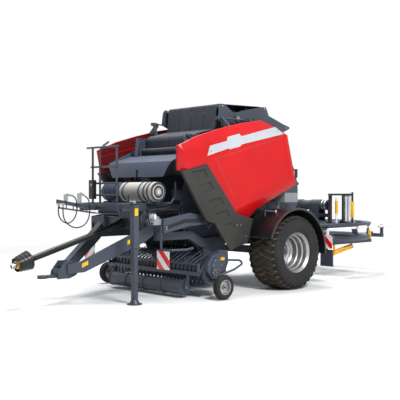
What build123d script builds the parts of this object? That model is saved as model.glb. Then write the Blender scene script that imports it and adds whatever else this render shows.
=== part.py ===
# Round baler with a bale wrapper on the same chassis, towed, parked on its stand.
# Millimetres. X runs rearwards, Y to the machine's right, Z up; the floor is Z = 0.
# Stations along X are written from the axle, which stands at AXLE_X.
import math
import os

from build123d import *

os.makedirs("parts", exist_ok=True)

# ---------------------------------------------------------------- driving sizes
AXLE_X = 485
LEFT, RIGHT = -1, 1
GAP = 1                      # play between pieces that move on each other
PIN_PLAY = 0.5               # radial play of a pin in its bore
CLEAR = 8                    # clear air between a moving piece and its neighbour

TYRE_R, TYRE_W, TYRE_FACE = 610, 620, 1495
BEAD_R, RIM_WALL = 290, 14
DISC_FACE = 1120             # wheel disc's outer face, from the centre line
DISC_WALL = 16
SPINDLE_R = 40
AXLE_BOX = 120

WALL_IN, WALL = 625, 30      # baling chamber's side walls
RAIL_W, RAIL_H, RAIL_Z = 80, 140, 740
RAIL_FRONT, RAIL_REAR = -2400, 1050
RAIL_STEP = 120              # the rails rise by this over the pick-up

DOOR_FACE, DOOR_WALL = 1075, 40
DOOR_HINGE_Y, DOOR_HINGE_Z = 800, 2790
TAILGATE_PIVOT = (-150, 2720)
CHAMBER = (100, 1600)        # chamber's centre (x, z)
CHAMBER_R = 900
SPLIT_X = -60                # where the tailgate parts from the chamber

RING_X, RING_R, RING_Z, RING_TUBE = 2200, 1150, 1000, 60
BASE_TUBE = 90


# ---------------------------------------------------------------- helpers
def block(x0, x1, y0, y1, z0, z1, mode=Mode.ADD):
    """A box between two stations from the axle, two distances from the centre line and two heights."""
    low, high = min(y0, y1), max(y0, y1)
    with Locations((AXLE_X + (x0 + x1) / 2, (low + high) / 2, (z0 + z1) / 2)):
        Box(x1 - x0, high - low, z1 - z0, mode=mode)


def outline(points):
    """A closed face through (station, height) points, for a plate that stands along the machine."""
    return [(AXLE_X + x, z) for x, z in points]


def plate(points, y0, y1, mode=Mode.ADD):
    """An upright plate of (station, height) corners, between two distances from the centre line."""
    low, high = min(y0, y1), max(y0, y1)
    with BuildSketch(Plane.XZ.offset(-high)) as face:
        with BuildLine():
            Polyline(*outline(points), close=True)
        make_face()
    extrude(face.sketch, amount=high - low, mode=mode)


def tube(points, diameter, bend=None, wall=None, mode=Mode.ADD):
    """A round bar or tube along (station, y, z) points, its bends all of one radius or from a list."""
    path_points = [(AXLE_X + x, y, z) for x, y, z in points]
    with BuildLine() as path:
        if bend is None or len(points) == 2:
            Polyline(*path_points)
        else:
            FilletPolyline(*path_points, radius=bend)
    with BuildSketch(Plane(origin=path.line @ 0, z_dir=path.line % 0)) as section:
        Circle(diameter / 2)
        if wall:
            Circle(diameter / 2 - wall, mode=Mode.SUBTRACT)
    sweep(section.sketch, path=path.line, mode=mode)


def rod(start, end, radius, mode=Mode.ADD):
    """A straight round bar between two (station, y, z) points."""
    low = Vector(AXLE_X + start[0], start[1], start[2])
    high = Vector(AXLE_X + end[0], end[1], end[2])
    with BuildSketch(Plane(origin=low, z_dir=high - low)) as section:
        Circle(radius)
    extrude(section.sketch, amount=(high - low).length, mode=mode)


def cone(start, end, start_radius, end_radius, mode=Mode.ADD):
    """A round taper between two (station, y, z) points."""
    low = Vector(AXLE_X + start[0], start[1], start[2])
    high = Vector(AXLE_X + end[0], end[1], end[2])
    with BuildSketch(Plane(origin=low, z_dir=high - low)) as near:
        Circle(start_radius)
    with BuildSketch(Plane(origin=high, z_dir=high - low)) as far:
        Circle(end_radius)
    loft([near.sketch.face(), far.sketch.face()], mode=mode)


def cross_bar(x, z, radius, y0, y1, mode=Mode.ADD):
    """A round bar across the machine at a station and height."""
    rod((x, min(y0, y1), z), (x, max(y0, y1), z), radius, mode)


def turned(points, x, z, mode=Mode.ADD):
    """A solid of revolution about the cross axis at (x, z), from (radius, y) points."""
    with BuildSketch(Plane.XY) as half:
        with BuildLine():
            Polyline(*[(r, y) for r, y in points], close=True)
        make_face()
    spun = revolve(half.sketch, axis=Axis.Y, mode=Mode.PRIVATE)
    add(spun.moved(Location((AXLE_X + x, 0, z))), mode=mode)


def faceted(sections, x, z, sides, mode=Mode.ADD):
    """A many-sided solid about the cross axis at (x, z), from (radius to its flats, y) sections."""
    faces = []
    for radius, y in sections:
        with BuildSketch(Plane(origin=(AXLE_X + x, y, z), x_dir=(1, 0, 0), z_dir=(0, 1, 0))) as section:
            RegularPolygon(radius, sides, major_radius=False, rotation=180 / sides)
        faces.append(section.sketch.face())
    loft(faces, ruled=True, mode=mode)


def finish(piece, name):
    piece.part.label = name
    export_step(piece.part, f"parts/{name}.step")


# ---------------------------------------------------------------- chassis
FRONT_PLATE = 20
FRONT_PLATE_Z = (1000, 1215)
PLATE_FACE = RAIL_FRONT - FRONT_PLATE
FRONT_HALF = 920
ARCH_HALF = 520
SIDE_ARM_REAR = -1500
AXLE_Z = TYRE_R
AXLE_TOP = AXLE_Z + AXLE_BOX / 2
AXLE_HALF = 960
WALL_OUT = WALL_IN + WALL
RAIL_IN = WALL_OUT + GAP + CLEAR      # the rails leave room for the tailgate's sides
RAIL_OUT = RAIL_IN + RAIL_W
RAIL_TOP = RAIL_Z + RAIL_H
WALL_PADS = (-1450, -900, -400)
PICKUP_PIVOT = (-1350, 600)
PICKUP_PIN_R = 25
HANGER_Y, HANGER_WALL = 690, 20
GUARD_TUBE, GUARD_TUBE_X, GUARD_TUBE_Z = 34, -2430, 757

with BuildPart() as chassis_frame:
    for side in (LEFT, RIGHT):
        plate(((RAIL_FRONT, RAIL_TOP), (RAIL_FRONT, RAIL_TOP + RAIL_STEP), (-1700, RAIL_TOP + RAIL_STEP), (-1450, RAIL_TOP),
               (RAIL_REAR, RAIL_TOP), (RAIL_REAR, RAIL_Z), (-1500, RAIL_Z), (-1750, RAIL_TOP)),
              side * RAIL_IN, side * RAIL_OUT)
        block(-90, 90, side * RAIL_IN, side * RAIL_OUT, AXLE_TOP, RAIL_Z)
        block(RAIL_FRONT, RAIL_FRONT + 100, side * RAIL_IN, side * RAIL_OUT, RAIL_TOP, FRONT_PLATE_Z[1])
        for x in WALL_PADS:
            block(x - 50, x + 50, side * WALL_OUT, side * RAIL_IN, RAIL_Z, RAIL_TOP)
        plate(((PICKUP_PIVOT[0] - 80, RAIL_Z), (PICKUP_PIVOT[0] + 80, RAIL_Z), (PICKUP_PIVOT[0] + 45, PICKUP_PIVOT[1] - 50),
               (PICKUP_PIVOT[0] - 45, PICKUP_PIVOT[1] - 50)), side * HANGER_Y, side * (HANGER_Y + HANGER_WALL))
        cross_bar(*PICKUP_PIVOT, PICKUP_PIN_R + PIN_PLAY, side * (HANGER_Y - 5), side * (HANGER_Y + HANGER_WALL + 5),
                  mode=Mode.SUBTRACT)
        plate(((RAIL_FRONT, 1000), (RAIL_FRONT, 1215), (-1900, 1290), (SIDE_ARM_REAR, 1230), (SIDE_ARM_REAR, 1110),
               (-1900, 1090)), side * (FRONT_HALF - 16), side * FRONT_HALF)
        block(SIDE_ARM_REAR - 60, SIDE_ARM_REAR, side * WALL_OUT, side * (FRONT_HALF - 16), 1130, 1210)
    with BuildSketch(Plane.YZ.offset(AXLE_X + PLATE_FACE)) as front_face:
        with Locations((0, sum(FRONT_PLATE_Z) / 2)):
            Rectangle(2 * FRONT_HALF, FRONT_PLATE_Z[1] - FRONT_PLATE_Z[0])
        with BuildLine() as arch:
            ThreePointArc((-ARCH_HALF, FRONT_PLATE_Z[0]), (0, FRONT_PLATE_Z[0] + 90), (ARCH_HALF, FRONT_PLATE_Z[0]))
            Line((-ARCH_HALF, FRONT_PLATE_Z[0]), (ARCH_HALF, FRONT_PLATE_Z[0]))
        make_face(mode=Mode.SUBTRACT)
    extrude(amount=FRONT_PLATE)
    block(RAIL_FRONT, RAIL_FRONT + 80, -RAIL_IN, RAIL_IN, FRONT_PLATE_Z[1] - 120, FRONT_PLATE_Z[1])
    block(RAIL_REAR - 80, RAIL_REAR, -RAIL_IN, RAIL_IN, RAIL_Z, RAIL_TOP)
    for side in (LEFT, RIGHT):
        rod((GUARD_TUBE_X, side * 870, GUARD_TUBE_Z), (GUARD_TUBE_X, side * 870, 1100), GUARD_TUBE / 2)
        tube(((GUARD_TUBE_X, side * 850, GUARD_TUBE_Z), (GUARD_TUBE_X, side * 1080, GUARD_TUBE_Z),
              (-2250, side * 1230, GUARD_TUBE_Z + 10), (-2120, side * 1230, GUARD_TUBE_Z + 30)), GUARD_TUBE, bend=80)
        block(GUARD_TUBE_X - 10, GUARD_TUBE_X, side * 800, side * 1060, GUARD_TUBE_Z - 60, GUARD_TUBE_Z)
finish(chassis_frame, "chassis_frame")

with BuildPart() as axle:
    block(-AXLE_BOX / 2, AXLE_BOX / 2, -AXLE_HALF, AXLE_HALF, AXLE_Z - AXLE_BOX / 2, AXLE_TOP)
    for side in (LEFT, RIGHT):
        cross_bar(0, AXLE_Z, SPINDLE_R, side * AXLE_HALF, side * (DISC_FACE + 60))
        cross_bar(0, AXLE_Z, 95, side * AXLE_HALF, side * (AXLE_HALF + 40))
        cross_bar(0, AXLE_Z, SPINDLE_R + 18, side * (DISC_FACE + 48), side * (DISC_FACE + 60))
finish(axle, "axle")

# ---------------------------------------------------------------- road wheels
TYRE_IN = TYRE_FACE - TYRE_W
SHOULDER, TREAD_DROP = 70, 14
TYRE_SIDES = 40
# tyre's section from its widest point to the tread, then from there in to the bead: (radius, depth from the side)
TYRE_OUTSIDE = ((BEAD_R + 190, 0), (TYRE_R - 60, 22), (TYRE_R - TREAD_DROP, SHOULDER), (TYRE_R, TYRE_W / 2 - 120))
TYRE_INSIDE = ((BEAD_R + 190, 0), (BEAD_R + 90, 12), (BEAD_R, 60))

for side, name in ((LEFT, "left"), (RIGHT, "right")):
    with BuildPart() as tyre:
        faceted([(r, side * (TYRE_IN + depth)) for r, depth in TYRE_OUTSIDE]
                + [(r, side * (TYRE_FACE - depth)) for r, depth in TYRE_OUTSIDE[::-1]], 0, AXLE_Z, TYRE_SIDES)
        faceted([(r, side * (TYRE_IN + depth)) for r, depth in TYRE_INSIDE]
                + [(r, side * (TYRE_FACE - depth)) for r, depth in TYRE_INSIDE[::-1]], 0, AXLE_Z, TYRE_SIDES,
                mode=Mode.SUBTRACT)
    finish(tyre, f"tyre_{name}")

    with BuildPart() as rim:
        turned([(r, side * y) for r, y in (
            (BEAD_R, TYRE_IN + 60), (BEAD_R, TYRE_FACE - 60), (BEAD_R - RIM_WALL, TYRE_FACE - 60),
            (BEAD_R - RIM_WALL, DISC_FACE), (SPINDLE_R + PIN_PLAY, DISC_FACE),
            (SPINDLE_R + PIN_PLAY, DISC_FACE - DISC_WALL), (BEAD_R - RIM_WALL, DISC_FACE - DISC_WALL),
            (BEAD_R - RIM_WALL, TYRE_IN + 60))], 0, AXLE_Z)
        turned([(r, side * y) for r, y in (
            (SPINDLE_R + PIN_PLAY, DISC_FACE - 80), (SPINDLE_R + PIN_PLAY, DISC_FACE + 40),
            (100, DISC_FACE + 40), (110, DISC_FACE), (110, DISC_FACE - 80))], 0, AXLE_Z)
    finish(rim, f"rim_{name}")

# ---------------------------------------------------------------- mudguards
FENDER_R, FENDER_WALL = 700, 18
FENDER_IN, FENDER_OUT = 900, 1490
FENDER_FRONT, FENDER_REAR = 158, -4       # degrees round the axle, 0 is straight back
FENDER_ARMS = (-300, 300)

with BuildPart() as fenders:
    for side in (LEFT, RIGHT):
        for inner, outer, y0, y1 in (
            (FENDER_R, FENDER_R + FENDER_WALL, FENDER_IN, FENDER_OUT),
            (TYRE_R + 15, FENDER_R, FENDER_IN - 14, FENDER_IN + 4),
            (FENDER_R, FENDER_R + FENDER_WALL, FENDER_IN - 14, FENDER_IN),
            (FENDER_R + FENDER_WALL, FENDER_R + FENDER_WALL + 12, FENDER_OUT - 40, FENDER_OUT),
        ):
            y_high = max(side * y0, side * y1)
            with BuildSketch(Plane.XZ.offset(-y_high)) as arc_band:
                with BuildLine():
                    front = math.radians(FENDER_FRONT)
                    rear = math.radians(FENDER_REAR)
                    middle = (front + rear) / 2
                    ends = [(AXLE_X + r * math.cos(a), AXLE_Z + r * math.sin(a))
                            for r, a in ((inner, front), (inner, middle), (inner, rear),
                                         (outer, rear), (outer, middle), (outer, front))]
                    ThreePointArc(ends[0], ends[1], ends[2])
                    Line(ends[2], ends[3])
                    ThreePointArc(ends[3], ends[4], ends[5])
                    Line(ends[5], ends[0])
                make_face()
            extrude(arc_band.sketch, amount=y1 - y0)
        for x in FENDER_ARMS:
            block(x - 20, x + 20, side * (RAIL_IN + 15), side * (FENDER_IN - 14), 1185, 1225)
            block(x - 20, x + 20, side * (RAIL_IN + 15), side * (RAIL_IN + 55), RAIL_TOP, 1185)
finish(fenders, "fenders")

# ---------------------------------------------------------------- drawbar, eye and shaft
ARM_FRONT, ARM_REAR = (-3500, 120), (PLATE_FACE, 640)    # (station, y) of an arm's middle
ARM_WIDTH = 90
ARM_RUN = math.hypot(ARM_REAR[0] - ARM_FRONT[0], ARM_REAR[1] - ARM_FRONT[1])
HEAD_HALF = 110
EYE_X, EYE_Z, EYE_BORE, EYE_R, EYE_THICK = -3913, 397, 25, 70, 45

with BuildPart() as drawbar:
    for side in (LEFT, RIGHT):
        heading = Vector(ARM_REAR[0] - ARM_FRONT[0], side * (ARM_REAR[1] - ARM_FRONT[1]), 0)
        origin = Vector(AXLE_X + ARM_FRONT[0], side * ARM_FRONT[1], 0)
        side_plane = Plane(origin=origin, x_dir=heading, z_dir=heading.cross(Vector(0, 0, 1)))
        with BuildSketch(side_plane) as arm_face:
            with BuildLine():
                Polyline((-60, 430), (-60, 560), (120, 590), (ARM_RUN + 60, 1165), (ARM_RUN + 60, 1000),
                         (ARM_RUN - 120, 860), (180, 440), close=True)
            make_face()
        extrude(arm_face.sketch, amount=ARM_WIDTH / 2, both=True)
        plate(((-3725, 356), (-3700, 470), (-3586, 607), (-3430, 607), (-3340, 500), (-3400, 400), (-3515, 356)),
              side * (HEAD_HALF - 25), side * HEAD_HALF)
    block(-3600, -3400, -HEAD_HALF, HEAD_HALF, 430, 540)
    block(PLATE_FACE, RAIL_FRONT + 300, -FRONT_HALF, FRONT_HALF, 400, 1400, mode=Mode.SUBTRACT)
finish(drawbar, "drawbar")

with BuildPart() as hitch_eye:
    with BuildSketch(Plane.XY.offset(EYE_Z - EYE_THICK / 2)) as eye_plan:
        with Locations((AXLE_X + EYE_X, 0)):
            Circle(EYE_R)
        with Locations((AXLE_X + (EYE_X + 30 - 3600) / 2, 0)):
            Rectangle(-3600 - EYE_X - 30, 80)
        with Locations((AXLE_X + EYE_X, 0)):
            Circle(EYE_BORE, mode=Mode.SUBTRACT)
    extrude(eye_plan.sketch, amount=EYE_THICK)
    block(-3690, -3600, -(HEAD_HALF - 25), HEAD_HALF - 25, 370, 500)
finish(hitch_eye, "hitch_eye")

SHAFT_TIP, SHAFT_END = (-4400, 575), (-2440, 1134)      # (station, height)
SHAFT_RUN = math.hypot(SHAFT_END[0] - SHAFT_TIP[0], SHAFT_END[1] - SHAFT_TIP[1])


def on_shaft(distance):
    share = distance / SHAFT_RUN
    return (SHAFT_TIP[0] + share * (SHAFT_END[0] - SHAFT_TIP[0]), 0,
            SHAFT_TIP[1] + share * (SHAFT_END[1] - SHAFT_TIP[1]))


GUARD_R, GUARD_BORE = 45, 30
BOSS_R, BOSS_OUT = 70, 40
with BuildPart() as shaft_guard:
    cone(on_shaft(70), on_shaft(260), 115, 70)
    rod(on_shaft(250), on_shaft(SHAFT_RUN - 160), GUARD_R)
    cone(on_shaft(SHAFT_RUN - 200 - BOSS_OUT), on_shaft(SHAFT_RUN - BOSS_OUT), 70, 120)
    cone(on_shaft(60), on_shaft(250), 109, 64, mode=Mode.SUBTRACT)
    rod(on_shaft(60), on_shaft(420), GUARD_BORE, mode=Mode.SUBTRACT)
finish(shaft_guard, "shaft_guard")

with BuildPart() as shaft_yoke:
    rod(on_shaft(0), on_shaft(60), 42)
    rod(on_shaft(0), on_shaft(60), 18, mode=Mode.SUBTRACT)
    rod(on_shaft(60), on_shaft(150), 36)
    rod(on_shaft(150), on_shaft(300), GUARD_BORE - 4)
    rod(on_shaft(300), on_shaft(400), GUARD_BORE - PIN_PLAY)
    for side in (LEFT, RIGHT):
        block(SHAFT_TIP[0] + 70, SHAFT_TIP[0] + 140, side * 28, side * 46, SHAFT_TIP[1], SHAFT_TIP[1] + 60)
finish(shaft_yoke, "shaft_yoke")

with BuildPart() as gearbox:
    block(SHAFT_END[0], PLATE_FACE, -150, 150, 1040, 1300)
    rod(on_shaft(SHAFT_RUN - BOSS_OUT), on_shaft(SHAFT_RUN + 20), BOSS_R)
    block(PLATE_FACE, -2180, -150, 150, 1000, FRONT_PLATE_Z[1], mode=Mode.SUBTRACT)
    block(PLATE_FACE, -2180, -150, 150, FRONT_PLATE_Z[1], 1300)
    block(RAIL_FRONT + 80, -2180, -120, 120, 1100, FRONT_PLATE_Z[1])
    cross_bar(-2260, 1165, 35, -WALL_OUT, WALL_OUT)
finish(gearbox, "gearbox")

# ---------------------------------------------------------------- parking stand
STAND_X, STAND_Y = -2930, -870
STAND_TUBE, STAND_WALL = 90, 8
STAND_LEG = STAND_TUBE - 2 * STAND_WALL - 2 * PIN_PLAY
STAND_BOTTOM, STAND_TOP = 810, 1623
FOOT_R, FOOT_THICK = 110, 14
DECK_Z = (1360, 1440)

with BuildPart() as stand_tube:
    block(STAND_X - STAND_TUBE / 2, STAND_X + STAND_TUBE / 2, STAND_Y - STAND_TUBE / 2, STAND_Y + STAND_TUBE / 2,
          STAND_BOTTOM, STAND_TOP)
    inner = STAND_TUBE / 2 - STAND_WALL
    block(STAND_X - inner, STAND_X + inner, STAND_Y - inner, STAND_Y + inner, STAND_BOTTOM, STAND_TOP - 30,
          mode=Mode.SUBTRACT)
    block(STAND_X - 30, STAND_X + 30, STAND_Y - 30, STAND_Y + 30, STAND_TOP, STAND_TOP + 40)
    rod((STAND_X - 60, STAND_Y, STAND_TOP + 20), (STAND_X - 30, STAND_Y, STAND_TOP + 20), 12)
    block(STAND_X - 35, STAND_X + 35, STAND_Y + STAND_TUBE / 2, -600, DECK_Z[0], DECK_Z[1])
finish(stand_tube, "stand_tube")

STAND_TRAVEL = 450
LEG_TOP = STAND_TOP - 30 - STAND_TRAVEL - CLEAR
with BuildPart() as stand_leg:
    half = STAND_LEG / 2
    block(STAND_X - half, STAND_X + half, STAND_Y - half, STAND_Y + half, FOOT_THICK, LEG_TOP)
    rod((STAND_X, STAND_Y, 0), (STAND_X, STAND_Y, FOOT_THICK), FOOT_R)
    cone((STAND_X, STAND_Y, FOOT_THICK), (STAND_X, STAND_Y, 70), 80, 48)
    block(STAND_X - half, STAND_X + half, STAND_Y - half, STAND_Y + half, FOOT_THICK, 80)
finish(stand_leg, "stand_leg")

# ---------------------------------------------------------------- deck, step and guard rail
RAIL_POSTS = ((-2860, 250), (-2860, -360))          # (station, y)
RAIL_TUBE = 34
RAIL_HEIGHTS = (1560, 1740, 1990, 2290)
with BuildPart() as front_deck:
    block(STAND_X - 35, STAND_X + 35, -600, 560, DECK_Z[0], DECK_Z[1])
    for y in (-520, 480):
        block(STAND_X + 35, PLATE_FACE, y, y + 70, DECK_Z[0] - 40, DECK_Z[1])
        block(PLATE_FACE - 60, PLATE_FACE, y, y + 70, FRONT_PLATE_Z[0] + 60, DECK_Z[0] - 40)
    block(STAND_X - 130, STAND_X - 35, -560, -60, 1285, 1300)
    block(STAND_X - 55, STAND_X - 35, -560, -60, 1300, DECK_Z[1])
    block(STAND_X + 35, RAIL_FRONT - 60, -450, 480, DECK_Z[1] - 12, DECK_Z[1])
    for x, y in RAIL_POSTS:
        rod((x, y, DECK_Z[1]), (x, y, 2400), RAIL_TUBE / 2)
    tube(((-2860, 60, DECK_Z[1]), (-2860, 60, 2200), (-2780, 60, 2330), (-2700, 60, 2380)), RAIL_TUBE, bend=60)
    for z in RAIL_HEIGHTS:
        rod((-2860, -400, z), (-2860, 330, z), RAIL_TUBE / 2 - 3)
finish(front_deck, "front_deck")

with BuildPart() as control_box:
    block(-2950, -2880, 130, 230, 1500, 1790)
    block(-2880, -2860, 160, 200, 1570, 1720)
    add(front_deck.part, mode=Mode.SUBTRACT)
finish(control_box, "control_box")

# ---------------------------------------------------------------- hose rack and hoses
HOSE_D = 18
RACK_FRONT, RACK_REAR = (-3640, 1500), (STAND_X - 35, 1385)        # (station, height)
RACK_SLOPE = (RACK_FRONT[1] - RACK_REAR[1]) / (RACK_REAR[0] - RACK_FRONT[0])


def rack_height(x):
    return RACK_FRONT[1] - RACK_SLOPE * (x - RACK_FRONT[0])


RACK_HALF, RACK_DEPTH = 20, 55
with BuildPart() as hose_rack:
    plate(((RACK_FRONT[0], RACK_FRONT[1]), (RACK_REAR[0], RACK_REAR[1]), (RACK_REAR[0], RACK_REAR[1] - RACK_DEPTH),
           (RACK_FRONT[0], RACK_FRONT[1] - RACK_DEPTH)), 40 - RACK_HALF, 40 + RACK_HALF)
    rod((RACK_FRONT[0] + 20, 40, RACK_FRONT[1] - 120), (RACK_REAR[0], 40, RACK_REAR[1] - 95), 12)
    for x in (-3600, -3480, -3360, -3240, -3120):
        rod((x, 40, rack_height(x) - 115), (x, 40, rack_height(x) - RACK_DEPTH + 5), 8)
finish(hose_rack, "hose_rack")

# (station, y, height) of each hose's route, from its plug on the rack to its clamp
HOSE_ROUTES = {
    "hose_front": ((-3430, 0, 1560), (-3360, 0, 1545), (-3318, 0, 1450), (-3322, 0, 1310), (-3375, 0, 1195),
                   (-3480, 0, 1140), (-3590, 0, 1190), (-3650, 0, 1290), (-3640, 0, 1400)),
    "hose_rear": ((-3200, 0, 1560), (-3120, 0, 1520), (-3090, 0, 1400), (-3095, 0, 1260), (-3150, 0, 1140),
                  (-3265, 0, 1080), (-3400, -15, 1085), (-3520, -25, 1150), (-3585, -25, 1260), (-3575, -20, 1385)),
}


def hose_radii(points):
    """0.45 of the shorter run over the tangent of half the turn, for each inner point."""
    radii = []
    for before, here, after in zip(points, points[1:], points[2:]):
        run_in = Vector(*here) - Vector(*before)
        run_out = Vector(*after) - Vector(*here)
        turn = math.radians(run_in.get_angle(run_out))
        radii.append(0.45 * min(run_in.length, run_out.length) / math.tan(turn / 2))
    return radii


for name, route in HOSE_ROUTES.items():
    radii = hose_radii(route)
    print(name, "radii", [round(r) for r in radii])
    with BuildPart() as hose:
        tube(route, HOSE_D, bend=radii)
    finish(hose, name)

with BuildPart() as hose_plugs:
    for name, route in HOSE_ROUTES.items():
        start, end = route[0], route[-1]
        first = (Vector(*start) - Vector(*route[1])).normalized()
        tip = Vector(*start) + first * 70
        rod((start[0], start[1], start[2]), (tip.X, tip.Y, tip.Z), 17)
        x = tip.X
        block(x - 14, x + 14, tip.Y - 14, 40 + RACK_HALF, rack_height(x), tip.Z)
        clamp = (Vector(*end) - Vector(*route[-2])).normalized()
        top = Vector(*end) + clamp * 40
        rod(end, (top.X, top.Y, top.Z), 14)
    add(hose_rack.part, mode=Mode.SUBTRACT)
    block(-3660, -3560, -40, 20, 1425, 1445)
finish(hose_plugs, "hose_plugs")

# ---------------------------------------------------------------- baling chamber, front half
PIVOT_R = 28                 # tailgate's pins
FEED_ROTOR = (-1130, 600)
ROTOR_SHAFT_R = 30
HOOD_HINGE, HOOD_PIN_R, HOOD_EAR_Y = (-1680, 2495), 10, 600
WALL_OUTLINE = ((SPLIT_X, 740), (-900, 740), (-950, 430), (-1300, 430), (-1500, 740), (-1700, 880), (-1880, 1250),
                (-1850, 1500), (-1640, 2050), (-1630, 2440), (-1697, 2480), (-1697, 2512), (-1250, 2512), (-700, 2760), (-350, 2840),
                (-100, 2840), (SPLIT_X, 2760))
HINGE_PIN_R = 12
DOOR_BRACKETS = ((-1220, ((0, 2400), (0, 2500), (90, 2815), (175, 2815), (175, 2765), (120, 2755))),
                 (-370, ((0, 2700), (0, 2815), (175, 2815), (175, 2765))))
with BuildPart() as chamber_walls:
    for side in (LEFT, RIGHT):
        plate(WALL_OUTLINE, side * WALL_IN, side * WALL_OUT)
        cross_bar(*TAILGATE_PIVOT, PIVOT_R, side * WALL_OUT, side * (WALL_OUT + 40))
        for x, corners in DOOR_BRACKETS:
            with BuildSketch(Plane.YZ.offset(AXLE_X + x)) as bracket:
                with BuildLine():
                    Polyline(*[(side * (WALL_OUT + y), z) for y, z in corners], close=True)
                make_face()
            extrude(bracket.sketch, amount=40)
        rod((-1220, side * DOOR_HINGE_Y, DOOR_HINGE_Z), (-330, side * DOOR_HINGE_Y, DOOR_HINGE_Z), HINGE_PIN_R)
    for x, z in ((-1560, 2300), (-1800, 1350)):
        cross_bar(x, z, 40, -WALL_IN, WALL_IN)
    for side in (LEFT, RIGHT):
        cross_bar(*HOOD_HINGE, HOOD_PIN_R, side * WALL_IN, side * (HOOD_EAR_Y - 8))
    cross_bar(*FEED_ROTOR, ROTOR_SHAFT_R + PIN_PLAY, -WALL_OUT - 5, WALL_OUT + 5, mode=Mode.SUBTRACT)
    add(chassis_frame.part, mode=Mode.SUBTRACT)
finish(chamber_walls, "chamber_walls")

# each roller: station, height, radius, half length of its shaft
ROLLER_HALF = 600
BELT_ROLLERS = {
    "front low": (-1420, 2410, 72, WALL_IN),
    "front top": (-963, 3003, 40, 690),
    "rear top": (40, 3030, 40, 690),
    "chamber top": (-200, 2470, 60, WALL_IN),
    "chamber front": (-1400, 1950, 60, WALL_IN),
}
BELT_THICK, BELT_WIDTH, BELT_PITCH = 8, 270, 300
BELT_COUNT = 4

def hull_loop(circles, growth):
    """Face round circles of (station, height, radius), pulled tight, each radius grown by growth."""
    with BuildSketch(Plane.XZ) as hull:
        for x, z, radius in circles:
            with Locations((AXLE_X + x, z)):
                Circle(radius + growth)
        make_hull()
    return hull.sketch


with BuildPart() as belts:
    loop = [(x, z, radius) for x, z, radius, shaft in BELT_ROLLERS.values()]
    ribbon = hull_loop(loop, BELT_THICK) - hull_loop(loop, 0)
    for index in range(BELT_COUNT):
        middle = (index - (BELT_COUNT - 1) / 2) * BELT_PITCH
        band = ribbon.moved(Location((0, middle + BELT_WIDTH / 2, 0)))
        extrude(band, amount=BELT_WIDTH)
finish(belts, "belts")

ARM_Y, ARM_THICK = 690, 14
with BuildPart() as belt_tensioner:
    for x, z, radius, shaft in BELT_ROLLERS.values():
        cross_bar(x, z, radius, -ROLLER_HALF, ROLLER_HALF)
        cross_bar(x, z, 20, -shaft, shaft)
    for side in (LEFT, RIGHT):
        plate(((-1010, 2965), (-1010, 3035), (-940, 3045), (-600, 2985), (0, 3065), (80, 3060), (745, 2775),
               (770, 2740), (740, 2705), (60, 2985), (-560, 2880), (-640, 2885)), side * ARM_Y, side * (ARM_Y + ARM_THICK))
        block(-660, -540, side * WALL_OUT, side * ARM_Y, 2640, 2960)
        cross_bar(-600, 2930, 55, side * (ARM_Y + ARM_THICK), side * (ARM_Y + 34))
    cross_bar(-600, 2900, 24, -WALL_OUT, WALL_OUT)
finish(belt_tensioner, "belt_tensioner")

# ---------------------------------------------------------------- tailgate
GATE_OUT = WALL_OUT + GAP
GATE_PLATE = GATE_OUT - WALL_IN
COVER = 14
with BuildPart() as tailgate_shell:
    for side in (LEFT, RIGHT):
        with BuildSketch(Plane.XZ.offset(-max(side * WALL_IN, side * GATE_OUT))) as cheek:
            with Locations((AXLE_X + CHAMBER[0], CHAMBER[1])):
                Circle(CHAMBER_R)
            with BuildLine():
                Polyline(*outline(((SPLIT_X + 10, 1700), (SPLIT_X + 10, 2620), (150, 2600), (450, 2520), (720, 2320),
                                   (850, 2000), (700, 1700))), close=True)
            make_face()
            with Locations((AXLE_X + SPLIT_X + 10 - 1000, 1500)):
                Rectangle(2000, 3000, mode=Mode.SUBTRACT)
        extrude(cheek.sketch, amount=GATE_PLATE)
        with BuildSketch(Plane.XZ.offset(-max(side * GATE_OUT, side * (GATE_OUT + 22)))) as lug:
            with BuildLine():
                Polyline(*outline(((-230, 2690), (-210, 2790), (-90, 2790), (380, 2480), (330, 2180), (SPLIT_X + 14, 2300))),
                         close=True)
            make_face()
            with Locations((AXLE_X + TAILGATE_PIVOT[0], TAILGATE_PIVOT[1])):
                Circle(PIVOT_R + PIN_PLAY, mode=Mode.SUBTRACT)
        extrude(lug.sketch, amount=22)
    with BuildSketch(Plane.XZ.offset(-WALL_IN)) as cover:
        with Locations((AXLE_X + CHAMBER[0], CHAMBER[1])):
            Circle(CHAMBER_R)
        with BuildLine():
            Polyline(*outline(((150, 1700), (150, 2600), (450, 2520), (720, 2320), (850, 2000), (700, 1700))), close=True)
        make_face()
        with Locations((AXLE_X + CHAMBER[0], CHAMBER[1])):
            Circle(CHAMBER_R - COVER, mode=Mode.SUBTRACT)
        with BuildLine():
            Polyline(*outline(((150, 1690), (150, 2586), (445, 2506), (708, 2314), (836, 2000), (700, 1690))), close=True)
        make_face(mode=Mode.SUBTRACT)
        with Locations((AXLE_X + 150 - 1000, 1500)):
            Rectangle(2000, 3000, mode=Mode.SUBTRACT)
    extrude(cover.sketch, amount=2 * WALL_IN)
    for angle in (-60, -25, 10):
        turn = math.radians(angle)
        x = CHAMBER[0] + (CHAMBER_R + 12) * math.cos(turn)
        z = CHAMBER[1] + (CHAMBER_R + 12) * math.sin(turn)
        cross_bar(x, z, 30, -GATE_OUT, GATE_OUT)
finish(tailgate_shell, "tailgate_shell")

with BuildPart() as tailgate_lamps:
    for side in (LEFT, RIGHT):
        block(700, 730, side * (GATE_OUT + 22), side * (GATE_OUT + 70), 1880, 1920)
        block(690, 760, side * (GATE_OUT + 70), side * (GATE_OUT + 190), 1860, 2010)
        block(680, 740, side * GATE_OUT, side * (GATE_OUT + 22), 1850, 1950)
finish(tailgate_lamps, "tailgate_lamps")

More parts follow.
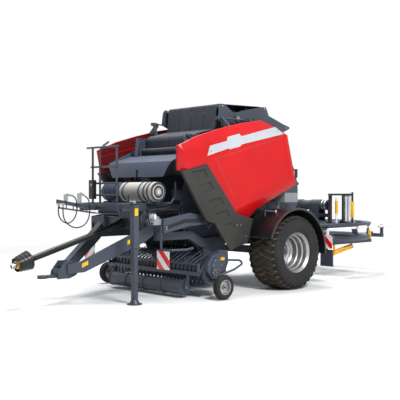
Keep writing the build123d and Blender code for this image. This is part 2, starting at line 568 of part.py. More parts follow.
# ---------------------------------------------------------------- side doors
SEAM = ((-2113, 1933), (-1692, 2033), (-1048, 1270), (-671, 1175))      # where door and lower panel meet
DOOR_OUTLINE = ((-2244, 2297), (-1841, 2461), (-1406, 2585), (-901, 2704), (-413, 2785), (210, 2574), (345, 2091),
                (441, 1725), (102, 1584), (-538, 1319)) + SEAM[::-1] + ((-2200, 1925),)
PANEL_OUTLINE = SEAM + ((-788, 794), (-1198, 693), (-1521, 1124), (-1664, 1163), (-2200, 1925))
PANEL_PROUD = 14
DOOR_ARMS = (-1120, -460)
KNUCKLE_R = 30


def door_plan(proud):
    """Plan of a left door's skin: it turns in towards the front."""
    face, wall = DOOR_FACE + proud, DOOR_WALL + proud
    return [(-2260, -face + 170), (-1950, -face + 65), (-1600, -face), (460, -face), (460, -face + wall),
            (-1610, -face + wall), (-1965, -face + 65 + wall), (-2260, -face + 170 + wall)]


def door_skin(corners, proud):
    """A left door panel of (station, height) corners, cut from its bent plan."""
    with BuildPart() as skin:
        with BuildSketch(Plane.XY.offset(500)) as plan:
            with BuildLine():
                Polyline(*outline(door_plan(proud)), close=True)
            make_face()
        extrude(plan.sketch, amount=2500)
        with BuildSketch(Plane.XZ) as side_face:
            with BuildLine():
                Polyline(*outline(corners), close=True)
            make_face()
        extrude(side_face.sketch, amount=1500, both=True, mode=Mode.INTERSECT)
    return skin.part


door_sheet = door_skin(DOOR_OUTLINE, 0)
panel_sheet = door_skin(PANEL_OUTLINE, PANEL_PROUD)
for side, name in ((LEFT, "left"), (RIGHT, "right")):
    with BuildPart() as door:
        add(door_sheet if side == LEFT else door_sheet.mirror(Plane.XZ))
        for x in DOOR_ARMS:
            reach = DOOR_FACE - DOOR_WALL
            with BuildSketch(Plane.YZ.offset(AXLE_X + x)) as hinge_arm:
                with BuildLine():
                    Polyline(*[(side * y, z) for y, z in (
                        (DOOR_HINGE_Y - 20, DOOR_HINGE_Z - 24), (DOOR_HINGE_Y, DOOR_HINGE_Z + 24),
                        (reach, DOOR_HINGE_Z - 170), (reach, DOOR_HINGE_Z - 290))], close=True)
                make_face()
                with Locations((side * DOOR_HINGE_Y, DOOR_HINGE_Z)):
                    Circle(KNUCKLE_R)
                    Circle(HINGE_PIN_R + PIN_PLAY, mode=Mode.SUBTRACT)
            extrude(hinge_arm.sketch, amount=30)
    finish(door, f"door_{name}")

    with BuildPart() as panel:
        add(panel_sheet if side == LEFT else panel_sheet.mirror(Plane.XZ))
    finish(panel, f"lower_panel_{name}")

# ---------------------------------------------------------------- net hood, cradle and rolls
with BuildPart() as net_hood:
    plate(((-2206, 1850), (-2166, 2085), (-1910, 2345), (-1718, 2480), (-1712, 2468), (-1902, 2333), (-2154, 2079),
           (-2194, 1848)), -790, 790)
    with BuildSketch(Plane.YZ.offset(AXLE_X - 2300)) as hood_front:
        with BuildLine():
            Polyline((-620, 1800), (-790, 2080), (-790, 2550), (790, 2550), (790, 2080), (620, 1800), close=True)
        make_face()
    extrude(hood_front.sketch, amount=800, mode=Mode.INTERSECT)
    for side in (LEFT, RIGHT):
        plate(((-1760, 2440), (-1718, 2480), (-1700, 2518), (-1658, 2518), (-1655, 2475), (-1740, 2420)),
              side * HOOD_EAR_Y, side * (HOOD_EAR_Y + 18))
        cross_bar(*HOOD_HINGE, HOOD_PIN_R + PIN_PLAY, side * (HOOD_EAR_Y - 10), side * (HOOD_EAR_Y + 30), mode=Mode.SUBTRACT)
    block(-2225, -2200, -110, 110, 1885, 1905)
finish(net_hood, "net_hood")

ROLL_X, ROLL_Z, ROLL_R, ROLL_HALF = -2280, 1610, 150, 620
with BuildPart() as net_rolls:
    cross_bar(ROLL_X, ROLL_Z, ROLL_R, -ROLL_HALF, ROLL_HALF)
    for side in (LEFT, RIGHT):
        cross_bar(ROLL_X, ROLL_Z, ROLL_R - 12, side * ROLL_HALF, side * (ROLL_HALF + 8))
        cross_bar(ROLL_X, ROLL_Z, 34, side * (ROLL_HALF + 8), side * (ROLL_HALF + 22))
finish(net_rolls, "net_rolls")

HOOP, HOOP_WIDTH = 8, 26
with BuildPart() as net_cradle:
    for y in (-540, -450, -330, 60, 330, 560):
        with BuildSketch(Plane.XZ.offset(-y - HOOP_WIDTH / 2)) as hoop:
            with Locations((AXLE_X + ROLL_X, ROLL_Z)):
                Circle(ROLL_R + HOOP)
                Circle(ROLL_R, mode=Mode.SUBTRACT)
        extrude(hoop.sketch, amount=HOOP_WIDTH)
    for side in (LEFT, RIGHT):
        tube(((-2150, side * 600, 1440), (-2150, side * 690, 1440), (-2080, side * 690, 1440), (-1990, side * 690, 1560),
              (-1990, side * 690, 1760)), 30, bend=40)
        block(-2005, -1870, side * WALL_IN, side * 675, 1480, 1640)
    cross_bar(-2150, 1440, 16, -610, 610)
    cross_bar(ROLL_X, ROLL_Z - ROLL_R - HOOP - 8, 14, -600, 600)
    for y in (-540, -330, 330, 560):
        plate(((-2430, 1440), (-2430, 1462), (-2110, 1462), (-2110, 1424), (-1870, 1424), (-1870, 1400), (-2140, 1400)),
              y - 10, y + 10)
    add(net_rolls.part, mode=Mode.SUBTRACT)
    add(chamber_walls.part, mode=Mode.SUBTRACT)
finish(net_cradle, "net_cradle")

# ---------------------------------------------------------------- feed rotor
STAR_COUNT, STAR_ARMS, STAR_R, STAR_WALL = 9, 4, 220, 14
with BuildPart() as feed_rotor:
    cross_bar(*FEED_ROTOR, 85, -(WALL_IN - 6), WALL_IN - 6)
    cross_bar(*FEED_ROTOR, ROTOR_SHAFT_R, -(WALL_OUT + 12), WALL_OUT + 12)
    for index in range(STAR_COUNT):
        y = (index - (STAR_COUNT - 1) / 2) * 130
        with BuildSketch(Plane.XZ.offset(-y - STAR_WALL / 2)) as star:
            with Locations((AXLE_X + FEED_ROTOR[0], FEED_ROTOR[1])):
                Circle(100)
                with PolarLocations(0, STAR_ARMS, start_angle=index * 22):
                    with Locations((150, 0)):
                        Rectangle(2 * (STAR_R - 150), 46)
        extrude(star.sketch, amount=STAR_WALL)
finish(feed_rotor, "feed_rotor")

# ---------------------------------------------------------------- pick-up
PICKUP_HALF, PICKUP_WALL = 1125, 15
REEL = (-1640, 400)
REEL_PIN_R, TINE_TIP = 20, 190
COVER_WALL = 60
GUARD_PIVOT, GUARD_PIN_R = (-1480, 665), 16
GAUGE_X, GAUGE_R, GAUGE_W, GAUGE_FACE = -1690, 185, 130, 1495
GAUGE_PIN_R = 16
GAUGE_LIFT = 5               # the stand carries the parked machine, so the gauge wheels clear the floor
GAUGE_Z = GAUGE_R + GAUGE_LIFT
GAUGE_IN = GAUGE_FACE - GAUGE_W

with BuildPart() as pickup_frame:
    for side in (LEFT, RIGHT):
        plate(((-1840, 330), (-1790, 520), (-1660, 680), (-1480, 720), (-1300, 700), (-1290, 520), (-1420, 250), (-1560, 190),
               (-1750, 200)), side * PICKUP_HALF, side * (PICKUP_HALF + PICKUP_WALL))
        plate(((-1700, 300), (-1800, 420), (-1790, 540), (-1680, 660), (-1500, 690), (-1400, 600), (-1400, 380),
               (-1520, 280)), side * (PICKUP_HALF + PICKUP_WALL), side * (PICKUP_HALF + PICKUP_WALL + COVER_WALL))
        cross_bar(*PICKUP_PIVOT, 40, side * PICKUP_HALF, side * (HANGER_Y + HANGER_WALL + GAP))
        cross_bar(*PICKUP_PIVOT, PICKUP_PIN_R, side * (HANGER_Y + HANGER_WALL + GAP), side * (HANGER_Y - 6))
        cross_bar(*REEL, REEL_PIN_R + PIN_PLAY, side * (PICKUP_HALF - 5), side * (PICKUP_HALF + PICKUP_WALL),
                  mode=Mode.SUBTRACT)
        cross_bar(*GUARD_PIVOT, GUARD_PIN_R, side * PICKUP_HALF, side * (PICKUP_HALF - 25))
        tube(((-1430, side * 1170, 300), (GAUGE_X + 120, side * 1215, 262), (GAUGE_X + 10, side * (GAUGE_IN - 30), GAUGE_Z)),
             50, bend=45)
        cross_bar(GAUGE_X, GAUGE_Z, 30, side * (GAUGE_IN - 50), side * (GAUGE_IN - GAP))
        cross_bar(GAUGE_X, GAUGE_Z, GAUGE_PIN_R, side * (GAUGE_IN - 20), side * (GAUGE_FACE - 20))
        tube(((-1560, side * 1195, 330), (-1300, side * 1290, 420), (-1120, side * 1290, 500), (-1140, side * 1240, 545),
              (-1400, side * 1190, 560)), 34, bend=45)
    block(-1500, -1420, -PICKUP_HALF, PICKUP_HALF, 205, 265)
finish(pickup_frame, "pickup_frame")

BAND_R, BAND_WALL, BAND_WIDTH, BAND_PITCH, BAND_COUNT = 150, 8, 60, 92, 24
BAND_FOOT, BAND_END = (-1752, 200), (-1400, 640)


def on_reel(radius, degrees):
    turn = math.radians(degrees)
    return (REEL[0] + radius * math.cos(turn), REEL[1] + radius * math.sin(turn))


with BuildPart() as pickup_bands:
    for index in range(BAND_COUNT):
        y = (index - (BAND_COUNT - 1) / 2) * BAND_PITCH
        with BuildSketch(Plane.XZ.offset(-y - BAND_WIDTH / 2)) as band:
            with BuildLine():
                inner = outline([on_reel(BAND_R - BAND_WALL, a) for a in (205, 155, 105)])
                outer = outline([on_reel(BAND_R, a) for a in (205, 155, 105)])
                foot = outline((BAND_FOOT, (BAND_FOOT[0] - BAND_WALL, BAND_FOOT[1])))
                end = outline((BAND_END, (BAND_END[0], BAND_END[1] - BAND_WALL)))
                Line(foot[0], inner[0])
                ThreePointArc(*inner)
                Line(inner[2], end[1])
                Line(end[1], end[0])
                Line(end[0], outer[2])
                ThreePointArc(outer[2], outer[1], outer[0])
                Line(outer[0], foot[1])
                Line(foot[1], foot[0])
            make_face()
        extrude(band.sketch, amount=BAND_WIDTH)
    block(BAND_FOOT[0] - 50, BAND_FOOT[0] + 15, -PICKUP_HALF, PICKUP_HALF, 160, BAND_FOOT[1] + 5)
    for side in (LEFT, RIGHT):
        block(-1545, -1380, side * (WALL_IN - 20), side * (HANGER_Y + HANGER_WALL + 20), 500, 760, mode=Mode.SUBTRACT)
    add(pickup_frame.part, mode=Mode.SUBTRACT)
finish(pickup_bands, "pickup_bands")

TINE_ROWS, TINE_WALL = 4, 8
ROD_HALF = PICKUP_HALF - 40
with BuildPart() as tine_reel:
    cross_bar(*REEL, 45, -(PICKUP_HALF - 6), PICKUP_HALF - 6)
    cross_bar(*REEL, REEL_PIN_R, -(PICKUP_HALF + PICKUP_WALL - GAP), PICKUP_HALF + PICKUP_WALL - GAP)
    for y in (-ROD_HALF, 0, ROD_HALF):
        cross_bar(*REEL, 115, y - 5, y + 5)
    for row in range(TINE_ROWS):
        angle = 360 * row / TINE_ROWS + 20
        x, z = on_reel(95, angle)
        cross_bar(x, z, 12, -ROD_HALF, ROD_HALF)
        outward = Vector(math.cos(math.radians(angle)), 0, math.sin(math.radians(angle)))
        tine_plane = Plane(origin=(AXLE_X + REEL[0], 0, REEL[1]), x_dir=(0, 1, 0), z_dir=outward.cross(Vector(0, 1, 0)))
        toward = 1 if tine_plane.y_dir.dot(outward) > 0 else -1
        with BuildSketch(tine_plane) as tines:
            with Locations((0, toward * (95 + TINE_TIP) / 2)):
                with GridLocations(BAND_PITCH, 1, BAND_COUNT - 1, 1):
                    Rectangle(TINE_WALL, TINE_TIP - 95)
        extrude(tines.sketch, amount=TINE_WALL / 2, both=True)
finish(tine_reel, "tine_reel")

CROP_ROLLER = (-1980, 160)
CROP_R, CROP_HALF, CROP_PIN_R = 95, 890, 14
with BuildPart() as windguard:
    for side in (LEFT, RIGHT):
        y0, y1 = side * (PICKUP_HALF - 22), side * (PICKUP_HALF - 8)
        plate(((-1600, 670), (-1500, 710), (-1450, 700), (-1450, 640), (-1580, 610), (-1880, 345), (-1920, 330),
               (-1925, 400), (-1880, 425)), y0, y1)
        cross_bar(*GUARD_PIVOT, GUARD_PIN_R + PIN_PLAY, side * (PICKUP_HALF - 27), side * (PICKUP_HALF - 3), mode=Mode.SUBTRACT)
        plate(((-2010, 130), (-2010, 190), (-1925, 400), (-1880, 400), (-1880, 340), (-1950, 130)),
              side * (CROP_HALF + 15), side * (CROP_HALF + 30))
        cross_bar(*CROP_ROLLER, CROP_PIN_R + PIN_PLAY, side * CROP_HALF, side * (CROP_HALF + 40), mode=Mode.SUBTRACT)
    block(-1925, -1885, -(PICKUP_HALF - 8), PICKUP_HALF - 8, 345, 400)
finish(windguard, "windguard")

with BuildPart() as crop_roller:
    cross_bar(*CROP_ROLLER, CROP_R, -CROP_HALF, CROP_HALF)
    cross_bar(*CROP_ROLLER, CROP_PIN_R, -(CROP_HALF + 45), CROP_HALF + 45)
finish(crop_roller, "crop_roller")

GAUGE_RIM_R, GAUGE_WALL = 105, 10
GAUGE_SIDES = 24
GAUGE_SECTION = ((GAUGE_R - 30, 0), (GAUGE_R - 8, 18), (GAUGE_R, 42))     # (radius, depth from the side)
GAUGE_BEAD = ((GAUGE_R - 30, 0), (GAUGE_RIM_R, 22))
for side, name in ((LEFT, "left"), (RIGHT, "right")):
    with BuildPart() as gauge_tyre:
        faceted([(r, side * (GAUGE_IN + depth)) for r, depth in GAUGE_SECTION]
                + [(r, side * (GAUGE_FACE - depth)) for r, depth in GAUGE_SECTION[::-1]], GAUGE_X, GAUGE_Z, GAUGE_SIDES)
        faceted([(r, side * (GAUGE_IN + depth)) for r, depth in GAUGE_BEAD]
                + [(r, side * (GAUGE_FACE - depth)) for r, depth in GAUGE_BEAD[::-1]], GAUGE_X, GAUGE_Z, GAUGE_SIDES,
                mode=Mode.SUBTRACT)
    finish(gauge_tyre, f"gauge_tyre_{name}")

    with BuildPart() as gauge_rim:
        bore = GAUGE_PIN_R + PIN_PLAY
        turned([(r, side * y) for r, y in (
            (GAUGE_RIM_R, GAUGE_IN + 22), (GAUGE_RIM_R, GAUGE_FACE - 22), (GAUGE_RIM_R - GAUGE_WALL, GAUGE_FACE - 22),
            (GAUGE_RIM_R - GAUGE_WALL, GAUGE_FACE - 60), (34, GAUGE_FACE - 60), (34, GAUGE_FACE - 34), (bore, GAUGE_FACE - 34),
            (bore, GAUGE_IN + 4), (34, GAUGE_IN + 4), (34, GAUGE_FACE - 72), (GAUGE_RIM_R - GAUGE_WALL, GAUGE_FACE - 72),
            (GAUGE_RIM_R - GAUGE_WALL, GAUGE_IN + 22))], GAUGE_X, GAUGE_Z)
    finish(gauge_rim, f"gauge_rim_{name}")

# ---------------------------------------------------------------- warning boards, valve block and tool boxes
BOARD = 270
with BuildPart() as valve_block:
    block(-2560, PLATE_FACE, -860, -700, 1120, 1210)
    block(-2550, -2440, -850, -710, 1210, 1300)
    for y in (-830, -780, -730):
        rod((-2560, y, 1165), (-2600, y, 1165), 16)
    add(drawbar.part, mode=Mode.SUBTRACT)
finish(valve_block, "valve_block")

with BuildPart() as tool_box:
    for side in (LEFT, RIGHT):
        block(250, 600, side * 740, side * 980, 1430, 1590)
        block(FENDER_ARMS[1] - 20, FENDER_ARMS[1] + 20, side * 760, side * 800, 1225, 1430)
finish(tool_box, "tool_boxes")

# ---------------------------------------------------------------- rear board carrier
CARRIER_X = (960, 1010)
with BuildPart() as rear_carrier:
    for side in (LEFT, RIGHT):
        block(*CARRIER_X, side * RAIL_OUT, side * 1460, 790, 850)
        block(CARRIER_X[0] + 10, CARRIER_X[1] - 10, side * 1190, side * 1450, 310, 600)
        block(CARRIER_X[0] + 20, CARRIER_X[1] - 20, side * 1300, side * 1340, 600, 790)


with BuildPart() as warning_boards:
    for side in (LEFT, RIGHT):
        block(GUARD_TUBE_X - 20, GUARD_TUBE_X - 10, side * 795, side * (795 + BOARD), GUARD_TUBE_Z - 17 - BOARD, GUARD_TUBE_Z - 17)
        block(CARRIER_X[0] - 10, CARRIER_X[0], side * 1215, side * 1455, 622, 862)
finish(warning_boards, "warning_boards")

# ---------------------------------------------------------------- wrapper: fixed frame
BASE_R, BASE_Z = 1120, 735
TABLE_PIVOT = (2650, 825)
TABLE_PIN_R = 20
TABLE_HALF, TABLE_WALL = 725, 15
EAR_Y, EAR_WALL = 770, 20
GUIDE_R = 25
GUIDE_ANGLES = (45, 135, 225, 315)


FORK_X = (1500, 1560)        # where the lower side rails hang from the base ring
FORK_Y = math.sqrt(BASE_R ** 2 - (RING_X - sum(FORK_X) / 2) ** 2) + 28
FORK_W, FORK_Z = 50, (BASE_Z - 105, BASE_Z - 45)


def round_ring(radius, degrees):
    turn = math.radians(degrees)
    return (RING_X + radius * math.cos(turn), radius * math.sin(turn))


with BuildPart() as wrapper_frame:
    corner_r = BASE_R / math.cos(math.radians(20))
    hoop_points = [(*round_ring(corner_r, a), BASE_Z) for a in range(220, 501, 40)]
    route = [(RAIL_REAR, -(RAIL_IN + RAIL_OUT) / 2, 800)] + hoop_points + [(RAIL_REAR, (RAIL_IN + RAIL_OUT) / 2, 800)]
    tube(route, BASE_TUBE, bend=[90] + [0.97 * BASE_R] * (len(hoop_points) - 2) + [90])
    block(TABLE_PIVOT[0] - 40, TABLE_PIVOT[0] + 40, -1010, 1010, BASE_Z - 40, BASE_Z + 35)
    block(RAIL_REAR, TABLE_PIVOT[0], -60, 60, BASE_Z - 40, BASE_Z + 35)
    block(RAIL_REAR - 40, RAIL_REAR + 60, -60, 60, BASE_Z - 40, RAIL_Z)
    for side in (LEFT, RIGHT):
        plate(((TABLE_PIVOT[0] - 45, BASE_Z + 35), (TABLE_PIVOT[0] - 30, TABLE_PIVOT[1] + 30),
               (TABLE_PIVOT[0] + 30, TABLE_PIVOT[1] + 30), (TABLE_PIVOT[0] + 45, BASE_Z + 35)),
              side * EAR_Y, side * (EAR_Y + EAR_WALL))
        cross_bar(*TABLE_PIVOT, TABLE_PIN_R + PIN_PLAY, side * (EAR_Y - 5), side * (EAR_Y + EAR_WALL + 5), mode=Mode.SUBTRACT)
        block(1350, 2880, side * FORK_Y, side * (FORK_Y + FORK_W), *FORK_Z)
        block(*FORK_X, side * FORK_Y, side * (FORK_Y + FORK_W), FORK_Z[1], BASE_Z)
        block(2620, 2680, side * FORK_Y, side * (FORK_Y + FORK_W), FORK_Z[1], BASE_Z)
    add(chassis_frame.part, mode=Mode.SUBTRACT)
    for angle in GUIDE_ANGLES:
        x, y = round_ring(RING_R, angle)
        inner_x, inner_y = round_ring(BASE_R, angle)
        rod((inner_x, inner_y, BASE_Z), (x, y, RING_Z - RING_TUBE / 2 - 2 * GUIDE_R - 8), 26)
        near, far = round_ring(RING_R - 32, angle), round_ring(RING_R + 32, angle)
        rod((*near, RING_Z - RING_TUBE / 2 - GUIDE_R - 0.5), (*far, RING_Z - RING_TUBE / 2 - GUIDE_R - 0.5), GUIDE_R)
        rod((x, y, RING_Z - RING_TUBE / 2 - 2 * GUIDE_R - 10), (x, y, RING_Z - RING_TUBE / 2 - GUIDE_R - 10), 16)
finish(wrapper_frame, "wrapper_frame")

with BuildPart() as frame_cylinders:
    for side in (LEFT, RIGHT):
        y = side * (FORK_Y + FORK_W / 2)
        rod((1690, y, 500), (2250, y, 590), 32)
        rod((1660, y, 440), (2300, y, 555), 14)
        for x, z in ((1700, 430), (2240, 530)):
            block(x - 12, x + 12, y - 15, y + 15, z, FORK_Z[0])
finish(frame_cylinders, "frame_cylinders")

with BuildPart() as lamp_carriers:
    add(rear_carrier.part)
    block(3345, 3420, -900, 900, 700, 770)
    for side in (LEFT, RIGHT):
        block(3380, 3410, side * 840, side * 900, 770, 945)
        block(3345, 3410, side * 600, side * 660, 770, 800)
    add(wrapper_frame.part, mode=Mode.SUBTRACT)
finish(lamp_carriers, "lamp_carriers")

with BuildPart() as rear_lamps:
    for side in (LEFT, RIGHT):
        for y in (200, 700, 820):
            rod((3420, side * y, 735), (3448, side * y, 735), 32)
        rod((3410, side * 870, 900), (3440, side * 870, 900), 28)
finish(rear_lamps, "rear_lamps")

with BuildPart() as safety_bars:
    for side in (LEFT, RIGHT):
        block(1010, 1050, side * 1285, side * 1315, 700, 935)
        block(1010, 1050, side * 1315, side * 1330, 790, 850)
        tube(((1030, side * 1300, 950), (2950, side * 1300, 950), (3300, side * 1080, 950), (3395, side * 870, 950)), 36, bend=150)
    add(lamp_carriers.part, mode=Mode.SUBTRACT)
finish(safety_bars, "safety_bars")

# ---------------------------------------------------------------- wrapper: table
# each table roller: station, height, radius
TABLE_ROLLERS = ((1850, 1360, 95), (1850, 970, 95), (2750, 950, 75))
TABLE_ROLLER_HALF = 715
with BuildPart() as wrap_table:
    for side in (LEFT, RIGHT):
        plate(((1800, 1395), (1835, 1420), (1900, 1395), (1900, 1010), (2700, 985), (2770, 980), (2770, 920), (2700, 790),
               (2600, 790), (2560, 880), (1800, 920)), side * TABLE_HALF, side * (TABLE_HALF + TABLE_WALL))
        cross_bar(*TABLE_PIVOT, 34, side * (TABLE_HALF + TABLE_WALL), side * (EAR_Y - GAP))
        cross_bar(*TABLE_PIVOT, TABLE_PIN_R, side * (EAR_Y - GAP), side * (EAR_Y + EAR_WALL + 6))
    cross_bar(1850, 1165, 36, -TABLE_HALF, TABLE_HALF)
    cross_bar(2300, 960, 36, -TABLE_HALF, TABLE_HALF)
    for x, z, radius in TABLE_ROLLERS:
        cross_bar(x, z, radius, -TABLE_ROLLER_HALF, TABLE_ROLLER_HALF)
        cross_bar(x, z, 24, -TABLE_HALF, TABLE_HALF)
finish(wrap_table, "wrap_table")

TABLE_BELT, TABLE_BELT_THICK, TABLE_BELT_PITCH = 230, 8, 440
with BuildPart() as table_belts:
    front_loop, rear_loop = TABLE_ROLLERS[:2], TABLE_ROLLERS[1:]
    outside = hull_loop(front_loop, TABLE_BELT_THICK) + hull_loop(rear_loop, TABLE_BELT_THICK)
    inside = hull_loop(front_loop, 0) + hull_loop(rear_loop, 0)
    loop_face = outside - inside
    for y in (-TABLE_BELT_PITCH, 0, TABLE_BELT_PITCH):
        extrude(loop_face.moved(Location((0, y + TABLE_BELT / 2, 0))), amount=TABLE_BELT)
finish(table_belts, "table_belts")

# ---------------------------------------------------------------- wrapper: carousel with film dispensers
with BuildPart() as carousel_ring:
    with BuildSketch(Plane.XZ) as ring_section:
        with Locations((RING_R, RING_Z)):
            Circle(RING_TUBE / 2)
    ring_solid = revolve(ring_section.sketch, axis=Axis.Z, mode=Mode.PRIVATE)
    add(ring_solid.moved(Location((AXLE_X + RING_X, 0, 0))))
finish(carousel_ring, "carousel_ring")

BASE_PLATE_Z = (985, 1010)
# each upright of a dispenser: angle round the ring, distance from its centre, radius, top
UPRIGHTS = ((240, 985, 34, 1575), (252, 1075, 22, 1540), (270, 1000, 20, 1600))
FILM_ROLLERS = ((256.5, 1050), (261, 1050))
BRIDGE_Z = (1540, 1575)


def ring_sector(inner, outer, start, end):
    """Plan of a flat sector round the ring's centre."""
    middle = (start + end) / 2
    with BuildSketch(Plane.XY) as sector:
        with BuildLine():
            points = [(AXLE_X + round_ring(r, a)[0], round_ring(r, a)[1])
                      for r, a in ((inner, start), (inner, middle), (inner, end), (outer, end), (outer, middle), (outer, start))]
            ThreePointArc(points[0], points[1], points[2])
            Line(points[2], points[3])
            ThreePointArc(points[3], points[4], points[5])
            Line(points[5], points[0])
        make_face()
    return sector.sketch


with BuildPart() as film_dispensers:
    for turn in (0, 180):
        extrude(ring_sector(955, RING_R, 236 + turn, 274 + turn).moved(Location((0, 0, BASE_PLATE_Z[0]))),
                amount=BASE_PLATE_Z[1] - BASE_PLATE_Z[0])
        for angle, distance, radius, top in UPRIGHTS:
            x, y = round_ring(distance, angle + turn)
            rod((x, y, BASE_PLATE_Z[1]), (x, y, top), radius)
        extrude(ring_sector(955, 1090, 238 + turn, 263.5 + turn).moved(Location((0, 0, BRIDGE_Z[0]))),
                amount=BRIDGE_Z[1] - BRIDGE_Z[0])
    add(carousel_ring.part, mode=Mode.SUBTRACT)
finish(film_dispensers, "film_dispensers")

with BuildPart() as film_rollers:
    for turn in (0, 180):
        for angle, distance in FILM_ROLLERS:
            x, y = round_ring(distance, angle + turn)
            rod((x, y, BASE_PLATE_Z[1]), (x, y, BRIDGE_Z[0]), 32)
finish(film_rollers, "film_rollers")
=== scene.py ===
# %% [markdown]
# # A round baler with a bale wrapper
# The machine stands parked on two flotation tyres and a screw stand at the drawbar, with two small gauge wheels just
# clear of the floor beside the pick-up. The measured frame comes from the CAD part, in metres, with X rearwards, Y to
# the machine's right and Z up. Everything made here hangs on that frame, so nothing has to be fitted by eye.

# %% Load the measured frame
import math

import bmesh
import bpy
from mathutils import Matrix, Vector
from mathutils.geometry import delaunay_2d_cdt


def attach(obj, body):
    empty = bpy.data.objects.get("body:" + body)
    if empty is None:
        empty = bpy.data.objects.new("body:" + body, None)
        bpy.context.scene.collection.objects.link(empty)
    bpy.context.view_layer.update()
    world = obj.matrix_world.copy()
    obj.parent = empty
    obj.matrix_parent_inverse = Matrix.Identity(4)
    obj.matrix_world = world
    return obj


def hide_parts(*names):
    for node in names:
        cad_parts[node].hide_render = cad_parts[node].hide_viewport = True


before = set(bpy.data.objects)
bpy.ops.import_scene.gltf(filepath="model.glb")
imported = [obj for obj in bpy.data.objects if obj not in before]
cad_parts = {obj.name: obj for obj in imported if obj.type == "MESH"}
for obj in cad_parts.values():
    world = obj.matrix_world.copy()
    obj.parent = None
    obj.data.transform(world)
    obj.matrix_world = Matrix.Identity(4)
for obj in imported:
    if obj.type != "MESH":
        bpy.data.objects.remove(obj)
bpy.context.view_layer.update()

AXLE_X = 0.485                      # where the road wheels' axle crosses the frame
SIDES = ((-1, "left"), (1, "right"))

# %% [markdown]
# ## The camera
# A visitor's eye height of 1.62 m and a lens of 67 mm, off the machine's front left corner: far enough away for the
# sides to stay nearly parallel, near enough for the drawbar to reach out towards the viewer.

# %% Camera
EYE = (-9.049, -9.216, 1.623)
HEADING = math.radians(43.4)        # turned from +Y towards +X
DIP = 0.01212938                    # metres down for each metre ahead
scene = bpy.context.scene
camera = bpy.data.objects.new("camera", bpy.data.cameras.new("camera"))
scene.collection.objects.link(camera)
camera.location = EYE
camera.rotation_mode = "QUATERNION"
camera.rotation_quaternion = Vector((math.sin(HEADING), math.cos(HEADING), -DIP)).to_track_quat("-Z", "Y")
camera.data.sensor_width = 36
camera.data.lens = 66.8
camera.data.clip_end = 200
scene.camera = camera
scene.view_settings.view_transform = "Standard"

# %% [markdown]
# ## Colours and nodes
# Colours are written as sRGB hex, the way a paint card or a colour picker gives them, and turned to linear light once.
# `add_node` adds one shader node with its settings and its links, so that a material reads from top to bottom.


# %% Colour and node helpers
def colour(hex_code):
    """An sRGB hex value as linear red, green, blue and full alpha."""
    parts = [int(hex_code[i:i + 2], 16) / 255 for i in (0, 2, 4)]
    return (*[c / 12.92 if c <= 0.04045 else ((c + 0.055) / 1.055) ** 2.4 for c in parts], 1)


def add_node(tree, kind, settings=None, links=None):
    """One shader node: settings by attribute or socket, links from other nodes' outputs."""
    node = tree.nodes.new("ShaderNode" + kind)
    for key, value in (settings or {}).items():
        if isinstance(key, str) and hasattr(node, key):
            setattr(node, key, value)
        else:
            node.inputs[key].default_value = value
    for key, source in (links or {}).items():
        tree.links.new(source, node.inputs[key])
    return node


finishes = {}


def new_material(name, **sockets):
    """Adds a Principled finish, and returns its node tree, its shader and the place on the object."""
    material = finishes[name] = bpy.data.materials.new(name)
    material.use_nodes = True
    tree = material.node_tree
    shader = tree.nodes["Principled BSDF"]
    for key, value in sockets.items():
        shader.inputs[key.replace("_", " ")].default_value = value
    return tree, shader, add_node(tree, "TexCoord").outputs["Object"]


def grain(tree, place, size_mm, detail=2, roughness=0.5, stretch=None):
    """Noise whose features are size_mm across, drawn out by stretch along X, Y and Z."""
    if stretch:
        place = add_node(tree, "Mapping", {"Scale": [1 / s for s in stretch]}, {"Vector": place}).outputs[0]
    return add_node(tree, "TexNoise", {"Scale": 1000 / size_mm, "Detail": detail, "Roughness": roughness},
                    {"Vector": place}).outputs["Fac"]


def spread(tree, value, low, high, out_low=0.0, out_high=1.0):
    """Maps low..high of a value to out_low..out_high."""
    return add_node(tree, "MapRange", {"From Min": low, "From Max": high, "To Min": out_low, "To Max": out_high},
                    {"Value": value}).outputs[0]


def fill(tree, node, values):
    """Sets or links each input of a node: a number, a hex colour or another node's output."""
    for index, value in values.items():
        if isinstance(value, str):
            node.inputs[index].default_value = colour(value)
        elif isinstance(value, (int, float)):
            node.inputs[index].default_value = value
        else:
            tree.links.new(value, node.inputs[index])
    return node


def blend_colours(tree, factor, first, second):
    """A mix of two colours, each a hex code or another node's output."""
    mix = add_node(tree, "Mix", {"data_type": "RGBA"}, {0: factor})
    return fill(tree, mix, {6: first, 7: second}).outputs[2]


def math_node(tree, operation, first, second=0.0):
    """One arithmetic step on one or two values."""
    return fill(tree, add_node(tree, "Math", {"operation": operation}), {0: first, 1: second}).outputs[0]


def tint(tree, shader, factor, first, second):
    """Colours a shader from first to second as the factor goes from 0 to 1."""
    tree.links.new(blend_colours(tree, factor, first, second), shader.inputs["Base Color"])


def emboss(tree, shader, height, depth_mm):
    """Turns a height from 0 to 1 into surface relief depth_mm deep."""
    bump = add_node(tree, "Bump", {"Strength": 1.0, "Distance": depth_mm / 1000}, {"Height": height})
    tree.links.new(bump.outputs[0], shader.inputs["Normal"])


# %% [markdown]
# ## Machine paint
# Farm machines are sprayed with two-pack enamel over blasted steel. It flows out glossy, with a faint orange peel, and
# a thin clear coat over the colour gives the sharp top reflection. Large sheets never look quite even: the film is a
# little thicker low down, so a slow cloud of the same hue runs through the colour.


